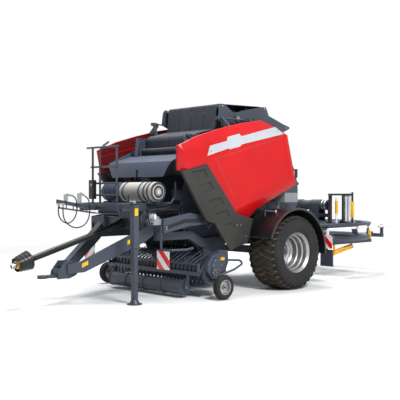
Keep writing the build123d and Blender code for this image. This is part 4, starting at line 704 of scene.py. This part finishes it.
# the hinge arm's section: y, height
HINGE_ARM = ((HINGE_Y - 0.020, HINGE_Z - 0.050), (HINGE_Y - 0.028, HINGE_Z - 0.020),
             (HINGE_Y - 0.015, HINGE_Z + 0.024), (HINGE_Y + 0.010, HINGE_Z + 0.024),
             (ARM_REACH, HINGE_Z - 0.170), (ARM_REACH, HINGE_Z - 0.290))
HINGE_STATIONS, HINGE_WIDTH = (-1.120, -0.460), 0.030
STRIP_RIVETS = ((-1.60, 2.235), (-0.06, 2.63))
PANEL_BOLTS = ((-1.051, 1.085), (-0.967, 1.083), (-1.30, 0.80), (-0.84, 0.90))
STEP_X, STEP_Z = POCKET_STEP
POCKET_FIELDS = [((x0, z0), (x1, z1), (x1 + STEP_X, z1 + STEP_Z), (x0 + STEP_X, z0 + STEP_Z))
                 for (x0, z0), (x1, z1) in POCKETS]
for side, name in SIDES:
    mesh = bmesh.new()
    # the door's inner faces take the second finish, a darker red that is painted shade
    pressed_sheet(mesh, DOOR_OUTLINE, DOOR_FOLDS, DOOR_FACE, DOOR_WALL, side, [DOOR_FIELD], 0.020, 0.035, 1)
    ease_edges(mesh, 0.008, 12)
    for station in HINGE_STATIONS:
        add_prism(mesh, [(station, side * y, z) for y, z in HINGE_ARM], (HINGE_WIDTH, 0, 0), 2)
    finish_piece(f"folded_door_{name}", mesh, ["red_enamel", "door_inside_painted_shade", "slate_enamel"], f"door_{name}",
                 f"door_{name}")

    mesh = bmesh.new()
    pressed_sheet(mesh, DECAL, DOOR_FOLDS, DOOR_FACE + 0.0015, 0.003, side)
    for x, z in STRIP_RIVETS:
        cross_rod(mesh, x, z, side * (DOOR_FACE - 0.002), side * (DOOR_FACE + 0.005), 0.012, 16, 1)
    finish_piece(f"silver_strip_{name}", mesh, ["bare_silver", "turned_steel"], f"door_{name}")

    mesh = bmesh.new()
    pressed_sheet(mesh, PANEL_OUTLINE, PANEL_FOLDS, DOOR_FACE + PANEL_PROUD, DOOR_WALL + PANEL_PROUD, side,
                  POCKET_FIELDS, 0.022, 0.012)
    ease_edges(mesh, 0.006, 20)
    for x, z in PANEL_BOLTS:
        cross_rod(mesh, x, z, side * (DOOR_FACE + 0.010), side * (DOOR_FACE + 0.022), 0.014, 6, 1)
    finish_piece(f"pocket_panel_{name}", mesh, ["grained_polypropylene", "turned_steel"], f"door_{name}",
                 f"lower_panel_{name}")

# %% [markdown]
# ## Belts and tensioner
# Four ribbed belts rise behind the doors, run over the top rollers and come down again, then pass forward round the
# chamber's front roller. Each loop is the line pulled tight round its rollers.

# %% Belts
BELT_THICK, BELT_WIDTH, BELT_PITCH, BELT_COUNT = 0.008, 0.290, 0.300, 4
ROLLERS = {
    # station, height, radius
    "front low": (-1.420, 2.455, 0.085), "drop": (-1.000, 2.600, 0.040), "front top": (-0.963, 3.003, 0.040),
    "rear top": (0.040, 3.030, 0.040), "chamber top": (-0.200, 2.470, 0.060), "chamber front": (-1.400, 1.950, 0.060),
}
ARM_ROLLERS = ("front top", "rear top")         # these reach out to the tension arms
BELT_LOOPS = (("drop", "front top", "rear top", "chamber top"), ("drop", "front low", "chamber front", "chamber top"))


def tight_loop(circles, steps=40):
    """Where a line pulled tight round the circles leans on them, in order: the points and their directions."""
    spots = []
    for x, z, radius in circles:
        for index in range(steps):
            turn = math.tau * index / steps
            spots.append((x + radius * math.cos(turn), z + radius * math.sin(turn), math.cos(turn), math.sin(turn)))
    spots.sort()
    line = []
    for ordered in (spots, spots[::-1]):
        chain = []
        for spot in ordered:
            while len(chain) > 1 and ((chain[-1][0] - chain[-2][0]) * (spot[1] - chain[-2][1])
                                      <= (chain[-1][1] - chain[-2][1]) * (spot[0] - chain[-2][0])):
                chain.pop()
            chain.append(spot)
        line += chain[:-1]
    return line


mesh = bmesh.new()
for loop in BELT_LOOPS:
    line = tight_loop([ROLLERS[name] for name in loop])
    for index in range(BELT_COUNT):
        y0 = (index - (BELT_COUNT - 1) / 2) * BELT_PITCH - BELT_WIDTH / 2
        rings = []
        for growth, y in ((0, y0), (BELT_THICK, y0), (BELT_THICK, y0 + BELT_WIDTH), (0, y0 + BELT_WIDTH)):
            rings.append([add_vert(mesh, (AXLE_X + x + growth * dx, y, z + growth * dz)) for x, z, dx, dz in line])
        for near, far in zip(rings, rings[1:] + rings[:1]):
            for a, b, c, d in zip(near, near[1:] + near[:1], far[1:] + far[:1], far):
                mesh.faces.new((a, b, c, d))
finish_piece("belt_loops", mesh, ["ribbed_belting"], "chassis", "belts", 50)

# %% Belt tensioner
ARM_Y, ARM_THICK, WALL_OUT = 0.690, 0.014, 0.655
TENSION_ARM = ((-1.050, 2.990), (-1.010, 3.040), (-0.930, 3.035), (-0.753, 2.930), (-0.640, 2.900), (-0.554, 2.951),
               (-0.015, 3.060), (0.080, 3.060), (0.150, 2.920), (0.535, 2.800), (0.700, 2.760), (0.710, 2.730),
               (0.520, 2.650), (0.060, 2.780), (-0.300, 2.832), (-0.440, 2.825), (-0.600, 2.750), (-0.871, 2.690),
               (-1.082, 2.771))
ARM_PIVOT = (-0.640, 2.825)
ARM_BOLTS = ((-0.985, 3.005), (0.030, 3.030), (0.600, 2.735), (-0.950, 2.760))
mesh = bmesh.new()
for name, (x, z, radius) in ROLLERS.items():
    cross_rod(mesh, x, z, -0.600, 0.600, radius, 32)
    reach = ARM_Y if name in ARM_ROLLERS else 0.625
    cross_rod(mesh, x, z, -reach, reach, 0.020, 16, 1)
for side, _ in SIDES:
    add_side_plate(mesh, TENSION_ARM, side * ARM_Y, side * ARM_THICK)
    add_side_box(mesh, side, (-0.660, WALL_OUT, 2.640), (-0.540, ARM_Y, 2.930))
    face = side * (ARM_Y + ARM_THICK)
    cover = face + side * 0.020
    cross_rod(mesh, *ARM_PIVOT, face, cover, 0.065, 32)
    cross_rod(mesh, *ARM_PIVOT, cover, face + side * 0.030, 0.030, 6, 1)
    bolt_ring(mesh, (ARM_PIVOT[0], cover, ARM_PIVOT[1]), 0.048, 6, 0.007, 0.006, side)
    for x, z in ARM_BOLTS:
        cross_rod(mesh, x, z, face, face + side * 0.010, 0.016, 6, 1)
cross_rod(mesh, -0.600, 2.900, -WALL_OUT, WALL_OUT, 0.024, 20)
finish_piece("tensioner_frame", mesh, ["slate_enamel", "turned_steel"], "chassis", "belt_tensioner")

# %% [markdown]
# ## Net hood
# The hood over the net rolls is a shallow tray of thin sheet: a lip that hangs down in front, a sloping top, a slot for
# the hand, and two wings that rise beside the chamber. Two ears hang it on its hinge.

# %% Hood
HOOD_HALF, HOOD_SHEET, SLOT_HALF = 0.790, 0.005, 0.070
# the tray's section: station, height, and how far it reaches to each side there
HOOD_SECTION = ((-2.198, 1.842, 0.640), (-2.188, 1.988, 0.730), (-2.151, 2.077, HOOD_HALF), (-1.699, 2.206, HOOD_HALF))
EAR = ((-1.750, 2.194), (-1.722, 2.480), (-1.700, 2.518), (-1.658, 2.518), (-1.655, 2.475), (-1.698, 2.206))
EAR_Y, EAR_THICK, WING_THICK = 0.600, 0.012, 0.006
WING = ((-2.152, 2.078), (-1.731, 2.264), (-1.520, 2.360), (-1.505, 2.348), (-1.640, 2.240), (-1.700, 2.206))
mesh = bmesh.new()
rows = [[add_vert(mesh, (AXLE_X + x, y, z)) for y in (-half, -SLOT_HALF, SLOT_HALF, half)]
        for x, z, half in HOOD_SECTION]
sheet = [mesh.faces.new((near[a], near[a + 1], far[a + 1], far[a])) for near, far in zip(rows, rows[1:])
         for a in range(3)]
slot_face = sheet[1]
slot_face.normal_update()
bmesh.ops.inset_region(mesh, faces=[slot_face], thickness=0.052, depth=0)
bmesh.ops.delete(mesh, geom=[slot_face], context="FACES_ONLY")
bmesh.ops.recalc_face_normals(mesh, faces=mesh.faces)
bmesh.ops.solidify(mesh, geom=list(mesh.faces), thickness=HOOD_SHEET)
for side, _ in SIDES:
    add_side_plate(mesh, EAR, side * EAR_Y, side * EAR_THICK)
    add_side_plate(mesh, WING, side * (HOOD_HALF - WING_THICK), side * WING_THICK)
    cross_rod(mesh, -2.196, 1.845, side * 0.620, side * 0.10, 0.006, 8)
finish_piece("tray_hood", mesh, ["hood_enamel"], "net_hood", "net_hood")

# %% [markdown]
# ## Front deck, guard rail and stand
# The deck's beams are folded channel, its floor is an open plate with a raised grip, and the guard rail is bent from
# one size of tube. The stand is a square tube with a screw inside, turned by a crank at its top.

# %% Deck and guard rail
STAND_X, STAND_Y, BEAM_HALF = -2.930, -0.870, 0.035
DECK_LOW, DECK_TOP, PLATE_FACE, DECK_REAR = 1.360, 1.440, -2.420, STAND_X + BEAM_HALF
STEP_HEIGHT = 1.300
RAIL_X, TOP_RAIL, POST_R = -2.860, 2.290, 0.017
HOOK = ((RAIL_X, 0.060, DECK_TOP), (RAIL_X, 0.060, 2.215), (-2.835, 0.060, 2.275), (-2.780, 0.060, 2.330),
        (-2.700, 0.060, 2.380))
mesh = bmesh.new()
add_box(mesh, (STAND_X - BEAM_HALF, -0.600, DECK_LOW), (DECK_REAR, 0.560, DECK_TOP), 0.004)
for y in (-0.520, 0.480):
    add_box(mesh, (DECK_REAR, y, DECK_LOW - 0.040), (PLATE_FACE, y + 0.070, DECK_TOP), 0.004)
    add_box(mesh, (PLATE_FACE - 0.060, y, 1.060), (PLATE_FACE, y + 0.070, DECK_LOW - 0.040), 0.004)
add_box(mesh, (STAND_X - 0.130, -0.560, STEP_HEIGHT - 0.015), (STAND_X - BEAM_HALF, -0.060, STEP_HEIGHT), 0.003)
add_box(mesh, (STAND_X - 0.055, -0.560, STEP_HEIGHT), (STAND_X - BEAM_HALF, -0.060, DECK_TOP), 0.003)
add_box(mesh, (DECK_REAR, -0.450, DECK_TOP - 0.012), (-2.460, 0.480, DECK_TOP))
for row in range(8):
    y = -0.410 + 0.120 * row
    add_box(mesh, (STAND_X + 0.050, y, DECK_TOP), (-2.480, y + 0.012, DECK_TOP + 0.006))
for y in (0.250, -0.360):
    upright_rod(mesh, RAIL_X, y, DECK_TOP, TOP_RAIL + 0.006, POST_R, 16)
    upright_rod(mesh, RAIL_X, y, DECK_TOP, DECK_TOP + 0.010, 2 * POST_R, 16)
for z, reach in ((1.560, 0.290), (1.740, 0.290), (1.990, 0.290), (TOP_RAIL, 0.400)):
    cross_rod(mesh, RAIL_X, z, -0.400, reach, 0.015, 16)
bent_rod(mesh, HOOK, POST_R, 16, 10)
finish_piece("deck_and_rail", mesh, ["slate_enamel"], "chassis", "front_deck")

# %% Stand
TUBE, BORE, FOOT, HEAD = 0.045, 0.037, 0.810, 1.445         # the tube's half width, its bore's, and its two ends
LEG_HALF, LEG_TOP = 0.0365, 0.957


def stand_box(mesh, low, high, bevel=0.0, finish=0):
    """A box whose corners are counted from the stand's middle line."""
    add_box(mesh, (STAND_X + low[0], STAND_Y + low[1], low[2]), (STAND_X + high[0], STAND_Y + high[1], high[2]),
            bevel, finish)


mesh = bmesh.new()
for (x0, y0), (x1, y1) in (((-TUBE, -TUBE), (TUBE, -BORE)), ((-TUBE, BORE), (TUBE, TUBE)),
                           ((-TUBE, -BORE), (-BORE, BORE)), ((BORE, -BORE), (TUBE, BORE))):
    stand_box(mesh, (x0, y0, FOOT), (x1, y1, HEAD))
stand_box(mesh, (-TUBE, -TUBE, HEAD - 0.020), (TUBE, TUBE, HEAD), 0.004)
stand_box(mesh, (-0.055, -0.055, FOOT), (0.055, -TUBE, FOOT + 0.060), 0.003)
upright_rod(mesh, STAND_X, STAND_Y, HEAD, HEAD + 0.040, 0.020, 16, 1)
add_rod(mesh, (STAND_X, STAND_Y, HEAD + 0.028), (STAND_X - 0.110, STAND_Y, HEAD + 0.028), 0.008, 12, 1)
upright_rod(mesh, STAND_X - 0.106, STAND_Y, HEAD + 0.020, HEAD + 0.120, 0.012, 12, 2)
add_box(mesh, (STAND_X - BEAM_HALF, STAND_Y + TUBE, DECK_LOW), (DECK_REAR, -0.600, DECK_TOP), 0.004)
stand_box(mesh, (-0.030, -TUBE - 0.0015, 1.270), (0.030, -TUBE, 1.375), 0.0, 3)
finish_piece("stand_post", mesh, ["slate_enamel", "turned_steel", "black_polythene", "yellow_enamel"], "chassis",
             "stand_tube")

mesh = bmesh.new()
stand_box(mesh, (-LEG_HALF, -LEG_HALF, 0.014), (LEG_HALF, LEG_HALF, LEG_TOP), 0.003)
for low, high, radius, end_radius, sides in ((0, 0.010, 0.110, 0.110, 40), (0.010, 0.014, 0.110, 0.104, 40),
                                             (0.014, 0.070, 0.080, 0.048, 32)):
    upright_rod(mesh, STAND_X, STAND_Y, low, high, radius, sides, 0, end_radius)
finish_piece("stand_slider", mesh, ["slate_enamel"], "stand", "stand_leg")

# %% [markdown]
# ## Pick-up
# In front of the tines a comb of steel rods holds the swath down, and below it a twelve-sided drum with flanges rolls
# along the crop. Hexagonal covers close the drives at both ends.

# %% Comb, drum and end covers
COMB_FRONT, COMB_REAR, COMB_ARM_Y = (-1.895, 0.512), (-1.520, 0.695), 1.103     # station, height; the arms' y
COMB_RODS, COMB_PITCH, COMB_GAP = 20, 0.104, (0.644, 0.764)                     # no rods inside the gap
COMB_ARM = ((-1.925, 0.395), (-1.915, 0.530), (-1.875, 0.530), (-1.880, 0.395))
mesh = bmesh.new()
cross_rod(mesh, *COMB_FRONT, -COMB_ARM_Y, COMB_ARM_Y, 0.014, 16)
for index in range(COMB_RODS):
    y = (index - (COMB_RODS - 1) / 2) * COMB_PITCH
    if not COMB_GAP[0] < abs(y) < COMB_GAP[1]:
        add_rod(mesh, (COMB_FRONT[0], y, COMB_FRONT[1]), (COMB_REAR[0], y, COMB_REAR[1]), 0.008, 8)
for side, _ in SIDES:
    add_side_plate(mesh, COMB_ARM, side * COMB_ARM_Y, side * 0.014)
finish_piece("comb_rods", mesh, ["slate_enamel"], "windguard")

CROP_X, CROP_Z, CROP_R, CROP_HALF = -1.980, 0.160, 0.112, 0.890
mesh = bmesh.new()
cross_rod(mesh, CROP_X, CROP_Z, -CROP_HALF, CROP_HALF, CROP_R)
for y in (-0.880, -0.440, 0, 0.440, 0.880):
    cross_rod(mesh, CROP_X, CROP_Z, y - 0.010, y + 0.010, CROP_R + 0.009, 40)
cross_rod(mesh, CROP_X, CROP_Z, -CROP_HALF - 0.045, CROP_HALF + 0.045, 0.014, 16, 1)
finish_piece("crop_drum", mesh, ["slate_enamel", "turned_steel"], "crop_roller", "crop_roller")

END_FACE = 1.200
END_COVERS = (((-1.600, 0.500), 0.120, 0.012), ((-1.660, 0.390), 0.060, 0.018))     # middle, radius, depth
mesh = bmesh.new()
for side, _ in SIDES:
    for (x, z), radius, depth in END_COVERS:
        face = side * (END_FACE + depth)
        cross_rod(mesh, x, z, side * END_FACE, face, radius, 6)
        bolt_ring(mesh, (x, face, z), radius * 0.72, 6, 0.008, 0.007, side)
    cross_rod(mesh, -1.480, 0.665, side * 1.140, side * 1.165, 0.022, 6, 1)
    add_side_box(mesh, side, (-1.520, END_FACE, 0.560), (-1.440, END_FACE + 0.004, 0.610), 0.0, 2)
finish_piece("pickup_end_covers", mesh, ["slate_enamel", "turned_steel", "yellow_enamel"], "pickup")

# %% [markdown]
# ## Hydraulics on the frame
# The valve bank sits on the left of the front frame: a cast block with three solenoids, unions and short hose ends.

# %% Valve bank
VALVE_LOW, VALVE_HIGH = (-2.560, -0.860, 1.120), (-2.420, -0.700, 1.210)
VALVE_FRONT, VALVE_TOP = VALVE_LOW[0], VALVE_HIGH[2]
OUTER_Y, MIDDLE_Y, INNER_Y = -0.835, -0.780, -0.725
UNION_TIP, UNION_Z = -2.600, 1.165
mesh = bmesh.new()
add_box(mesh, VALVE_LOW, VALVE_HIGH, 0.005, 1)
for index, y in enumerate((OUTER_Y, MIDDLE_Y, INNER_Y)):
    add_box(mesh, (-2.545, y - 0.020, VALVE_TOP), (-2.505, y + 0.020, 1.275), 0.004, 2)
    upright_rod(mesh, -2.525, y, 1.275, 1.298, 0.012)
    add_box(mesh, (-2.485, y - 0.016, VALVE_TOP), (-2.450, y + 0.016, 1.245 + 0.012 * index), 0.003)
    add_rod(mesh, (VALVE_FRONT, y, UNION_Z), (UNION_TIP, y, UNION_Z), 0.014, 6)
    upright_rod(mesh, -2.578, y, UNION_Z, 1.125, 0.009, 12, 3)
finish_piece("valve_bank", mesh, ["turned_steel", "grey_enamel", "white_enamel", "hose_rubber"], "chassis",
             "valve_block")

# %% [markdown]
# ## Net roll ends, mudguard edges and frame details
# The wound net shows its layers as rings round a cardboard core. The mudguards have a rolled edge that stiffens them
# and catches the light. Steel pipes with a nut at each end run from the valve bank to the chamber and along its left
# side, and plain yellow plates mark the places to keep clear of.

# %% Net roll ends
ROLL_X, ROLL_Z, ROLL_R, ROLL_HALF = -2.280, 1.610, 0.150, 0.620
ROLL_END = (
    # radius, how far it stands out from the roll
    (ROLL_R - 0.002, 0.000), (ROLL_R - 0.003, 0.010), (0.118, 0.013), (0.112, 0.010), (0.098, 0.014), (0.092, 0.011),
    (0.060, 0.013), (0.056, 0.020), (0.038, 0.023), (0.034, 0.020), (0.034, 0.000),
)
CORE_R, KNIT_LOW, KNIT_HIGH = 0.058, 0.095, 0.114
for side, name in SIDES:
    mesh = bmesh.new()
    spin_profile(mesh, [(r, side * (ROLL_HALF + out)) for r, out in ROLL_END], (AXLE_X + ROLL_X, 0, ROLL_Z), 48)
    for face in mesh.faces:
        middle = face.calc_center_median()
        reach = math.hypot(middle.x - AXLE_X - ROLL_X, middle.z - ROLL_Z)
        face.material_index = 1 if reach < CORE_R else 2 if KNIT_LOW < reach < KNIT_HIGH else 0
    finish_piece(f"net_roll_end_{name}", mesh, ["wound_net", "core_board", "net_knit_with_painted_shade"], "chassis")

# %% Mudguard edges
FENDER_R, FENDER_OUT, EDGE_R = 0.718, 1.490, 0.016
EDGE_REACH, EDGE_Y = FENDER_R + 0.004, FENDER_OUT - 0.008
EDGE_TURNS = [math.radians(158 - step * 9) for step in range(19)]       # from the front, over the top, to the rear
FRONT_EDGE = FENDER_R * math.cos(EDGE_TURNS[0]), TYRE_R + FENDER_R * math.sin(EDGE_TURNS[0])
mesh = bmesh.new()
for side, _ in SIDES:
    points = [(AXLE_X + EDGE_REACH * math.cos(turn), side * EDGE_Y, TYRE_R + EDGE_REACH * math.sin(turn))
              for turn in EDGE_TURNS]
    mesh.from_mesh(curve_mesh(smooth_curve("edge_line", points, EDGE_R, 3, 4)))
    cross_rod(mesh, *FRONT_EDGE, side * 0.900, side * FENDER_OUT, 0.012)
    for x in (-0.30, 0.30):
        upright_rod(mesh, x, side * 0.905, 1.205, 1.242, 0.014, 6)
finish_piece("mudguard_edges", mesh, ["glossy_black"], "chassis")

# %% Lamp brackets on the mudguards
mesh = bmesh.new()
for side, _ in SIDES:
    elbow, tip = (-0.391, side * 1.100, 1.300), (-0.300, side * 1.250, 1.285)
    add_rod(mesh, (elbow[0], elbow[1], 1.200), elbow, 0.014)
    add_rod(mesh, elbow, tip, 0.016, 16)
    add_rod(mesh, tip, (-0.292, side * 1.262, 1.283), 0.026, 20, 1)
finish_piece("marker_lamps", mesh, ["slate_enamel", "white_enamel"], "chassis")

# %% Work lamps and cable loops at the tailgate
mesh = bmesh.new()
for side, _ in SIDES:
    add_side_box(mesh, side, (0.688, 0.743, 1.876), (0.690, 0.837, 1.994), 0.0, 1)
    for z in (1.868, 1.998):
        add_side_box(mesh, side, (0.680, 0.735, z), (0.762, 0.845, z + 0.006), 0.002)
    loop = [(0.300 + 0.075 * math.sin(turn), side * 0.684, 2.330 + 0.095 * math.cos(turn))
            for turn in [math.radians(20 + 20 * step) for step in range(9)]]
    bent_rod(mesh, loop, 0.007, 8, finish=2)
finish_piece("work_lamps", mesh, ["black_polythene", "white_enamel", "hose_rubber"], "tailgate")

# %% Steel pipes
PIPES = (
    # (station, y, height) of each bend
    ((UNION_TIP, OUTER_Y, UNION_Z), (-2.640, OUTER_Y, UNION_Z), (-2.640, OUTER_Y, 1.330), (-2.200, -0.800, 1.380),
     (-1.830, -0.657, 1.420)),
    ((UNION_TIP, MIDDLE_Y, UNION_Z), (-2.660, MIDDLE_Y, UNION_Z), (-2.660, MIDDLE_Y, 1.290), (-2.240, -0.760, 1.330),
     (-1.830, -0.657, 1.340)),
    ((UNION_TIP, INNER_Y, UNION_Z), (-2.680, INNER_Y, UNION_Z), (-2.680, -0.700, 1.250), (-2.100, -0.700, 1.290),
     (-1.830, -0.657, 1.300)),
    ((-2.380, -0.928, 1.060), (-2.000, -0.928, 1.160), (-1.600, -0.928, 1.150), (-1.480, -0.900, 1.060)),
    ((-2.380, -0.928, 1.090), (-2.000, -0.928, 1.190), (-1.600, -0.928, 1.180), (-1.440, -0.900, 1.090)),
)
mesh = bmesh.new()
for pipe in PIPES:
    bent_rod(mesh, pipe, 0.0085, 10, 6)
    for x, y, z in (pipe[0], pipe[-1]):
        add_rod(mesh, (x - 0.012, y, z), (x + 0.012, y, z), 0.014, 6, 1)
finish_piece("steel_pipes", mesh, ["hose_rubber", "turned_steel"], "chassis")

# %% Plain yellow plates
BEAM_TIP, BEAM_ROOT = Vector((-3.500, -0.120, 0)), Vector((PLATE_FACE, -0.640, 0))      # the drawbar's left beam
BEAM_SIDE, PLATE_RISE, PLATE_THICK = 0.0455, 0.49, 0.0015       # off the beam's middle; rise for each metre along it
BEAM_PLATES = ((0.864, 0.880), (0.192, 0.560))                  # distance along the beam, height
BEAM_PLATE = ((-0.045, -0.03), (0.045, -0.03), (0.045, 0.03), (-0.045, 0.03))
along = (BEAM_ROOT - BEAM_TIP).normalized()
across = Vector((along.y, -along.x, 0))
mesh = bmesh.new()
add_box(mesh, (PLATE_FACE - PLATE_THICK, -0.665, 1.120), (PLATE_FACE, -0.570, 1.180))
for distance, height in BEAM_PLATES:
    for flank in (-1, 1):
        middle = BEAM_TIP + along * distance + Vector((0, 0, height)) + across * (BEAM_SIDE * flank)
        corners = [middle + along * a + Vector((0, 0, b + PLATE_RISE * a)) for a, b in BEAM_PLATE]
        add_prism(mesh, corners, across * (PLATE_THICK * flank))
add_box(mesh, (-2.950 - PLATE_THICK, 0.150, 1.700), (-2.950, 0.190, 1.735))
finish_piece("yellow_plates", mesh, ["yellow_enamel"], "chassis")

# %% [markdown]
# ## Wrapper details
# The front roller of the wrapping table has bright bands between its belts. The dispensers carry their film between a
# dark frame and two ribbed aluminium rollers, with a yellow post beside them.

# %% Wrapper
TABLE_X, TABLE_Z, TABLE_R = 1.850, 1.360, 0.095
mesh = bmesh.new()
for side, _ in SIDES:
    for start, end in ((0.690, 0.660), (0.625, 0.600)):
        cross_rod(mesh, TABLE_X, TABLE_Z, side * start, side * end, TABLE_R + 0.004, 40)
    cross_rod(mesh, TABLE_X, TABLE_Z, side * 0.740, side * 0.752, 0.030, 6, 1)
finish_piece("roller_bands", mesh, ["ribbed_aluminium", "turned_steel"], "wrap_table")

RING_X = 2.200
DISPENSER_RODS = (
    # radius and angle on the ring, low and high end, rod radius, sides, finish
    (1.030, 246, 1.010, 1.500, 0.020, 16, 2), (1.030, 246, 1.200, 1.440, 0.028, 20, 1),
    (1.020, 264, 1.010, 1.590, 0.014, 12, 2),
    (1.050, 256.5, 1.016, 1.026, 0.040, 24, 0), (1.050, 256.5, 1.526, 1.536, 0.040, 24, 0),
    (1.050, 261, 1.016, 1.026, 0.040, 24, 0), (1.050, 261, 1.526, 1.536, 0.040, 24, 0),
    (1.140, 255, 1.000, 1.060, 0.060, 24, 0),
    (0.985, 240, 1.150, 1.162, 0.044, 20, 0), (0.985, 240, 1.300, 1.312, 0.044, 20, 0),
    (0.985, 240, 1.450, 1.462, 0.044, 20, 0),
)


def on_ring(radius, degrees):
    return RING_X + radius * math.cos(math.radians(degrees)), radius * math.sin(math.radians(degrees))


mesh = bmesh.new()
for turn in (0, 180):
    x, y = on_ring(1.000, 270 + turn)
    add_box(mesh, (x - 0.022, y - 0.022, 1.120), (x + 0.022, y + 0.022, 1.420), 0.003, 1)
    for ring_radius, degrees, *rod in DISPENSER_RODS:
        upright_rod(mesh, *on_ring(ring_radius, degrees + turn), *rod)
finish_piece("dispenser_fittings", mesh, ["slate_enamel", "yellow_enamel", "white_enamel"], "carousel")

# %% Lift cylinders and bar ends
mesh = bmesh.new()
for side, _ in SIDES:
    upright_rod(mesh, 2.850, side * 0.950, 0.690, 0.860, 0.030, 20)
    upright_rod(mesh, 2.850, side * 0.950, 0.860, 0.955, 0.014, 14, 1)
    for x in (1.900, 2.250, 2.600):
        add_side_box(mesh, side, (x - 0.020, 1.317, 0.934), (x + 0.020, 1.323, 0.966), 0.0, 2)
finish_piece("bar_marks", mesh, ["yellow_enamel", "white_enamel", "red_lens"], "chassis")

# %% [markdown]
# ## Hydraulic hoses
# Two hoses leave their plugs on the rack, drop in a loop and come back to a clamp under the rack's tip. A hose that
# long hangs in one smooth curve, so each is a NURBS line through a few listed points, given a round section.

# %% Hoses
HOSE_D = 0.018
HOSES = {
    # node: (station from the axle, y, height) of each point, in metres
    "hose_front": ((-3.430, 0, 1.560), (-3.360, 0, 1.545), (-3.318, 0, 1.450), (-3.322, 0, 1.310), (-3.375, 0, 1.195),
                   (-3.480, 0, 1.140), (-3.590, 0, 1.190), (-3.650, 0, 1.290), (-3.640, 0, 1.400)),
    "hose_rear": ((-3.200, 0, 1.560), (-3.120, 0, 1.520), (-3.090, 0, 1.400), (-3.095, 0, 1.260), (-3.150, 0, 1.140),
                  (-3.265, 0, 1.080), (-3.400, -0.015, 1.085), (-3.520, -0.025, 1.150), (-3.585, -0.025, 1.260),
                  (-3.575, -0.020, 1.385)),
}
for node, route in HOSES.items():
    points = [(AXLE_X + x, y, z) for x, y, z in route]
    curve = smooth_curve(node + "_smooth", points, HOSE_D / 2, 4, 8)
    curve.materials.append(finishes["hose_rubber"])
    hose = bpy.data.objects.new(node + "_smooth", curve)
    scene.collection.objects.link(hose)
    line = [vert.co.copy() for vert in curve_mesh(smooth_curve("measure", points, 0, 4, 12)).vertices]
    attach(hose, "chassis")
    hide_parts(node)

# %% [markdown]
# ## Floor and light
# A pale studio floor runs out to white. Near the machine it is a real surface that takes soft shadows; far out it
# fades to plain white, so no horizon shows. Large lamps overhead, at the front left and at the rear right give broad,
# quiet highlights, and the white surroundings fill the rest.


# %% Floor
def seen_directly(tree):
    """1 for what the camera sees, straight or by mirror or glass, and 0 for light that scatters."""
    paths = add_node(tree, "LightPath").outputs
    return math_node(tree, "MAXIMUM", paths["Is Camera Ray"],
                     math_node(tree, "MAXIMUM", paths["Is Glossy Ray"], paths["Is Transmission Ray"]))


def mix_to_output(tree, factor, first, second, output):
    """Sends a mix of two shaders to the tree's output."""
    mixed = add_node(tree, "MixShader", links={0: factor, 1: first.outputs[0], 2: second.outputs[0]})
    add_node(tree, output, links={0: mixed.outputs[0]})


FLOOR_R, FADE_START, FADE_END = 60, 5.0, 11.0
floor_mesh = bmesh.new()
bmesh.ops.create_circle(floor_mesh, cap_ends=True, segments=96, radius=FLOOR_R)
floor_data = bpy.data.meshes.new("studio_floor")
floor_mesh.to_mesh(floor_data)
floor_mesh.free()
floor = bpy.data.objects.new("studio_floor", floor_data)
floor.location.z = -0.001
scene.collection.objects.link(floor)

floor_finish = bpy.data.materials.new("studio_paper")
floor_finish.use_nodes = True
tree = floor_finish.node_tree
tree.nodes.clear()
paper = add_node(tree, "BsdfDiffuse", {"Color": colour("F4F5F6")})
white = add_node(tree, "Emission", {"Color": (1, 1, 1, 1), "Strength": 1.0})
place = add_node(tree, "TexCoord").outputs["Object"]
radius = add_node(tree, "VectorMath", {"operation": "LENGTH"}, {0: place}).outputs["Value"]
share = math_node(tree, "MULTIPLY", spread(tree, radius, FADE_START, FADE_END), seen_directly(tree))
mix_to_output(tree, share, paper, white, "OutputMaterial")
floor_data.materials.append(floor_finish)

# %% World and lamps
world = bpy.data.worlds.new("studio")
scene.world = world
world.use_nodes = True
tree = world.node_tree
tree.nodes.clear()
around = add_node(tree, "Background", {"Color": colour("F2F6FA"), "Strength": 0.34})
backdrop = add_node(tree, "Background", {"Color": (1, 1, 1, 1), "Strength": 1.0})
mix_to_output(tree, seen_directly(tree), around, backdrop, "OutputWorld")

LAMPS = {
    # name: place, aim, size, watts
    "key_lamp": ((-3.0, -9.0, 8.0), (0.2, 0, 1.2), 3.0, 1150),
    "top_lamp": ((0.0, 1.5, 10.0), (0.5, 0, 0.5), 5.0, 1000),
    "rear_lamp": ((8.5, 7.0, 6.0), (0.5, 0, 1.2), 5.0, 350),
}
for name, (place, aim, size, watts) in LAMPS.items():
    lamp_data = bpy.data.lights.new(name, "AREA")
    lamp_data.shape = "DISK"
    lamp_data.size = size
    lamp_data.energy = watts
    lamp = bpy.data.objects.new(name, lamp_data)
    lamp.location = place
    lamp.rotation_mode = "QUATERNION"
    lamp.rotation_quaternion = (Vector(aim) - Vector(place)).to_track_quat("-Z", "Y")
    scene.collection.objects.link(lamp)

# %% Last update
bpy.context.view_layer.update()
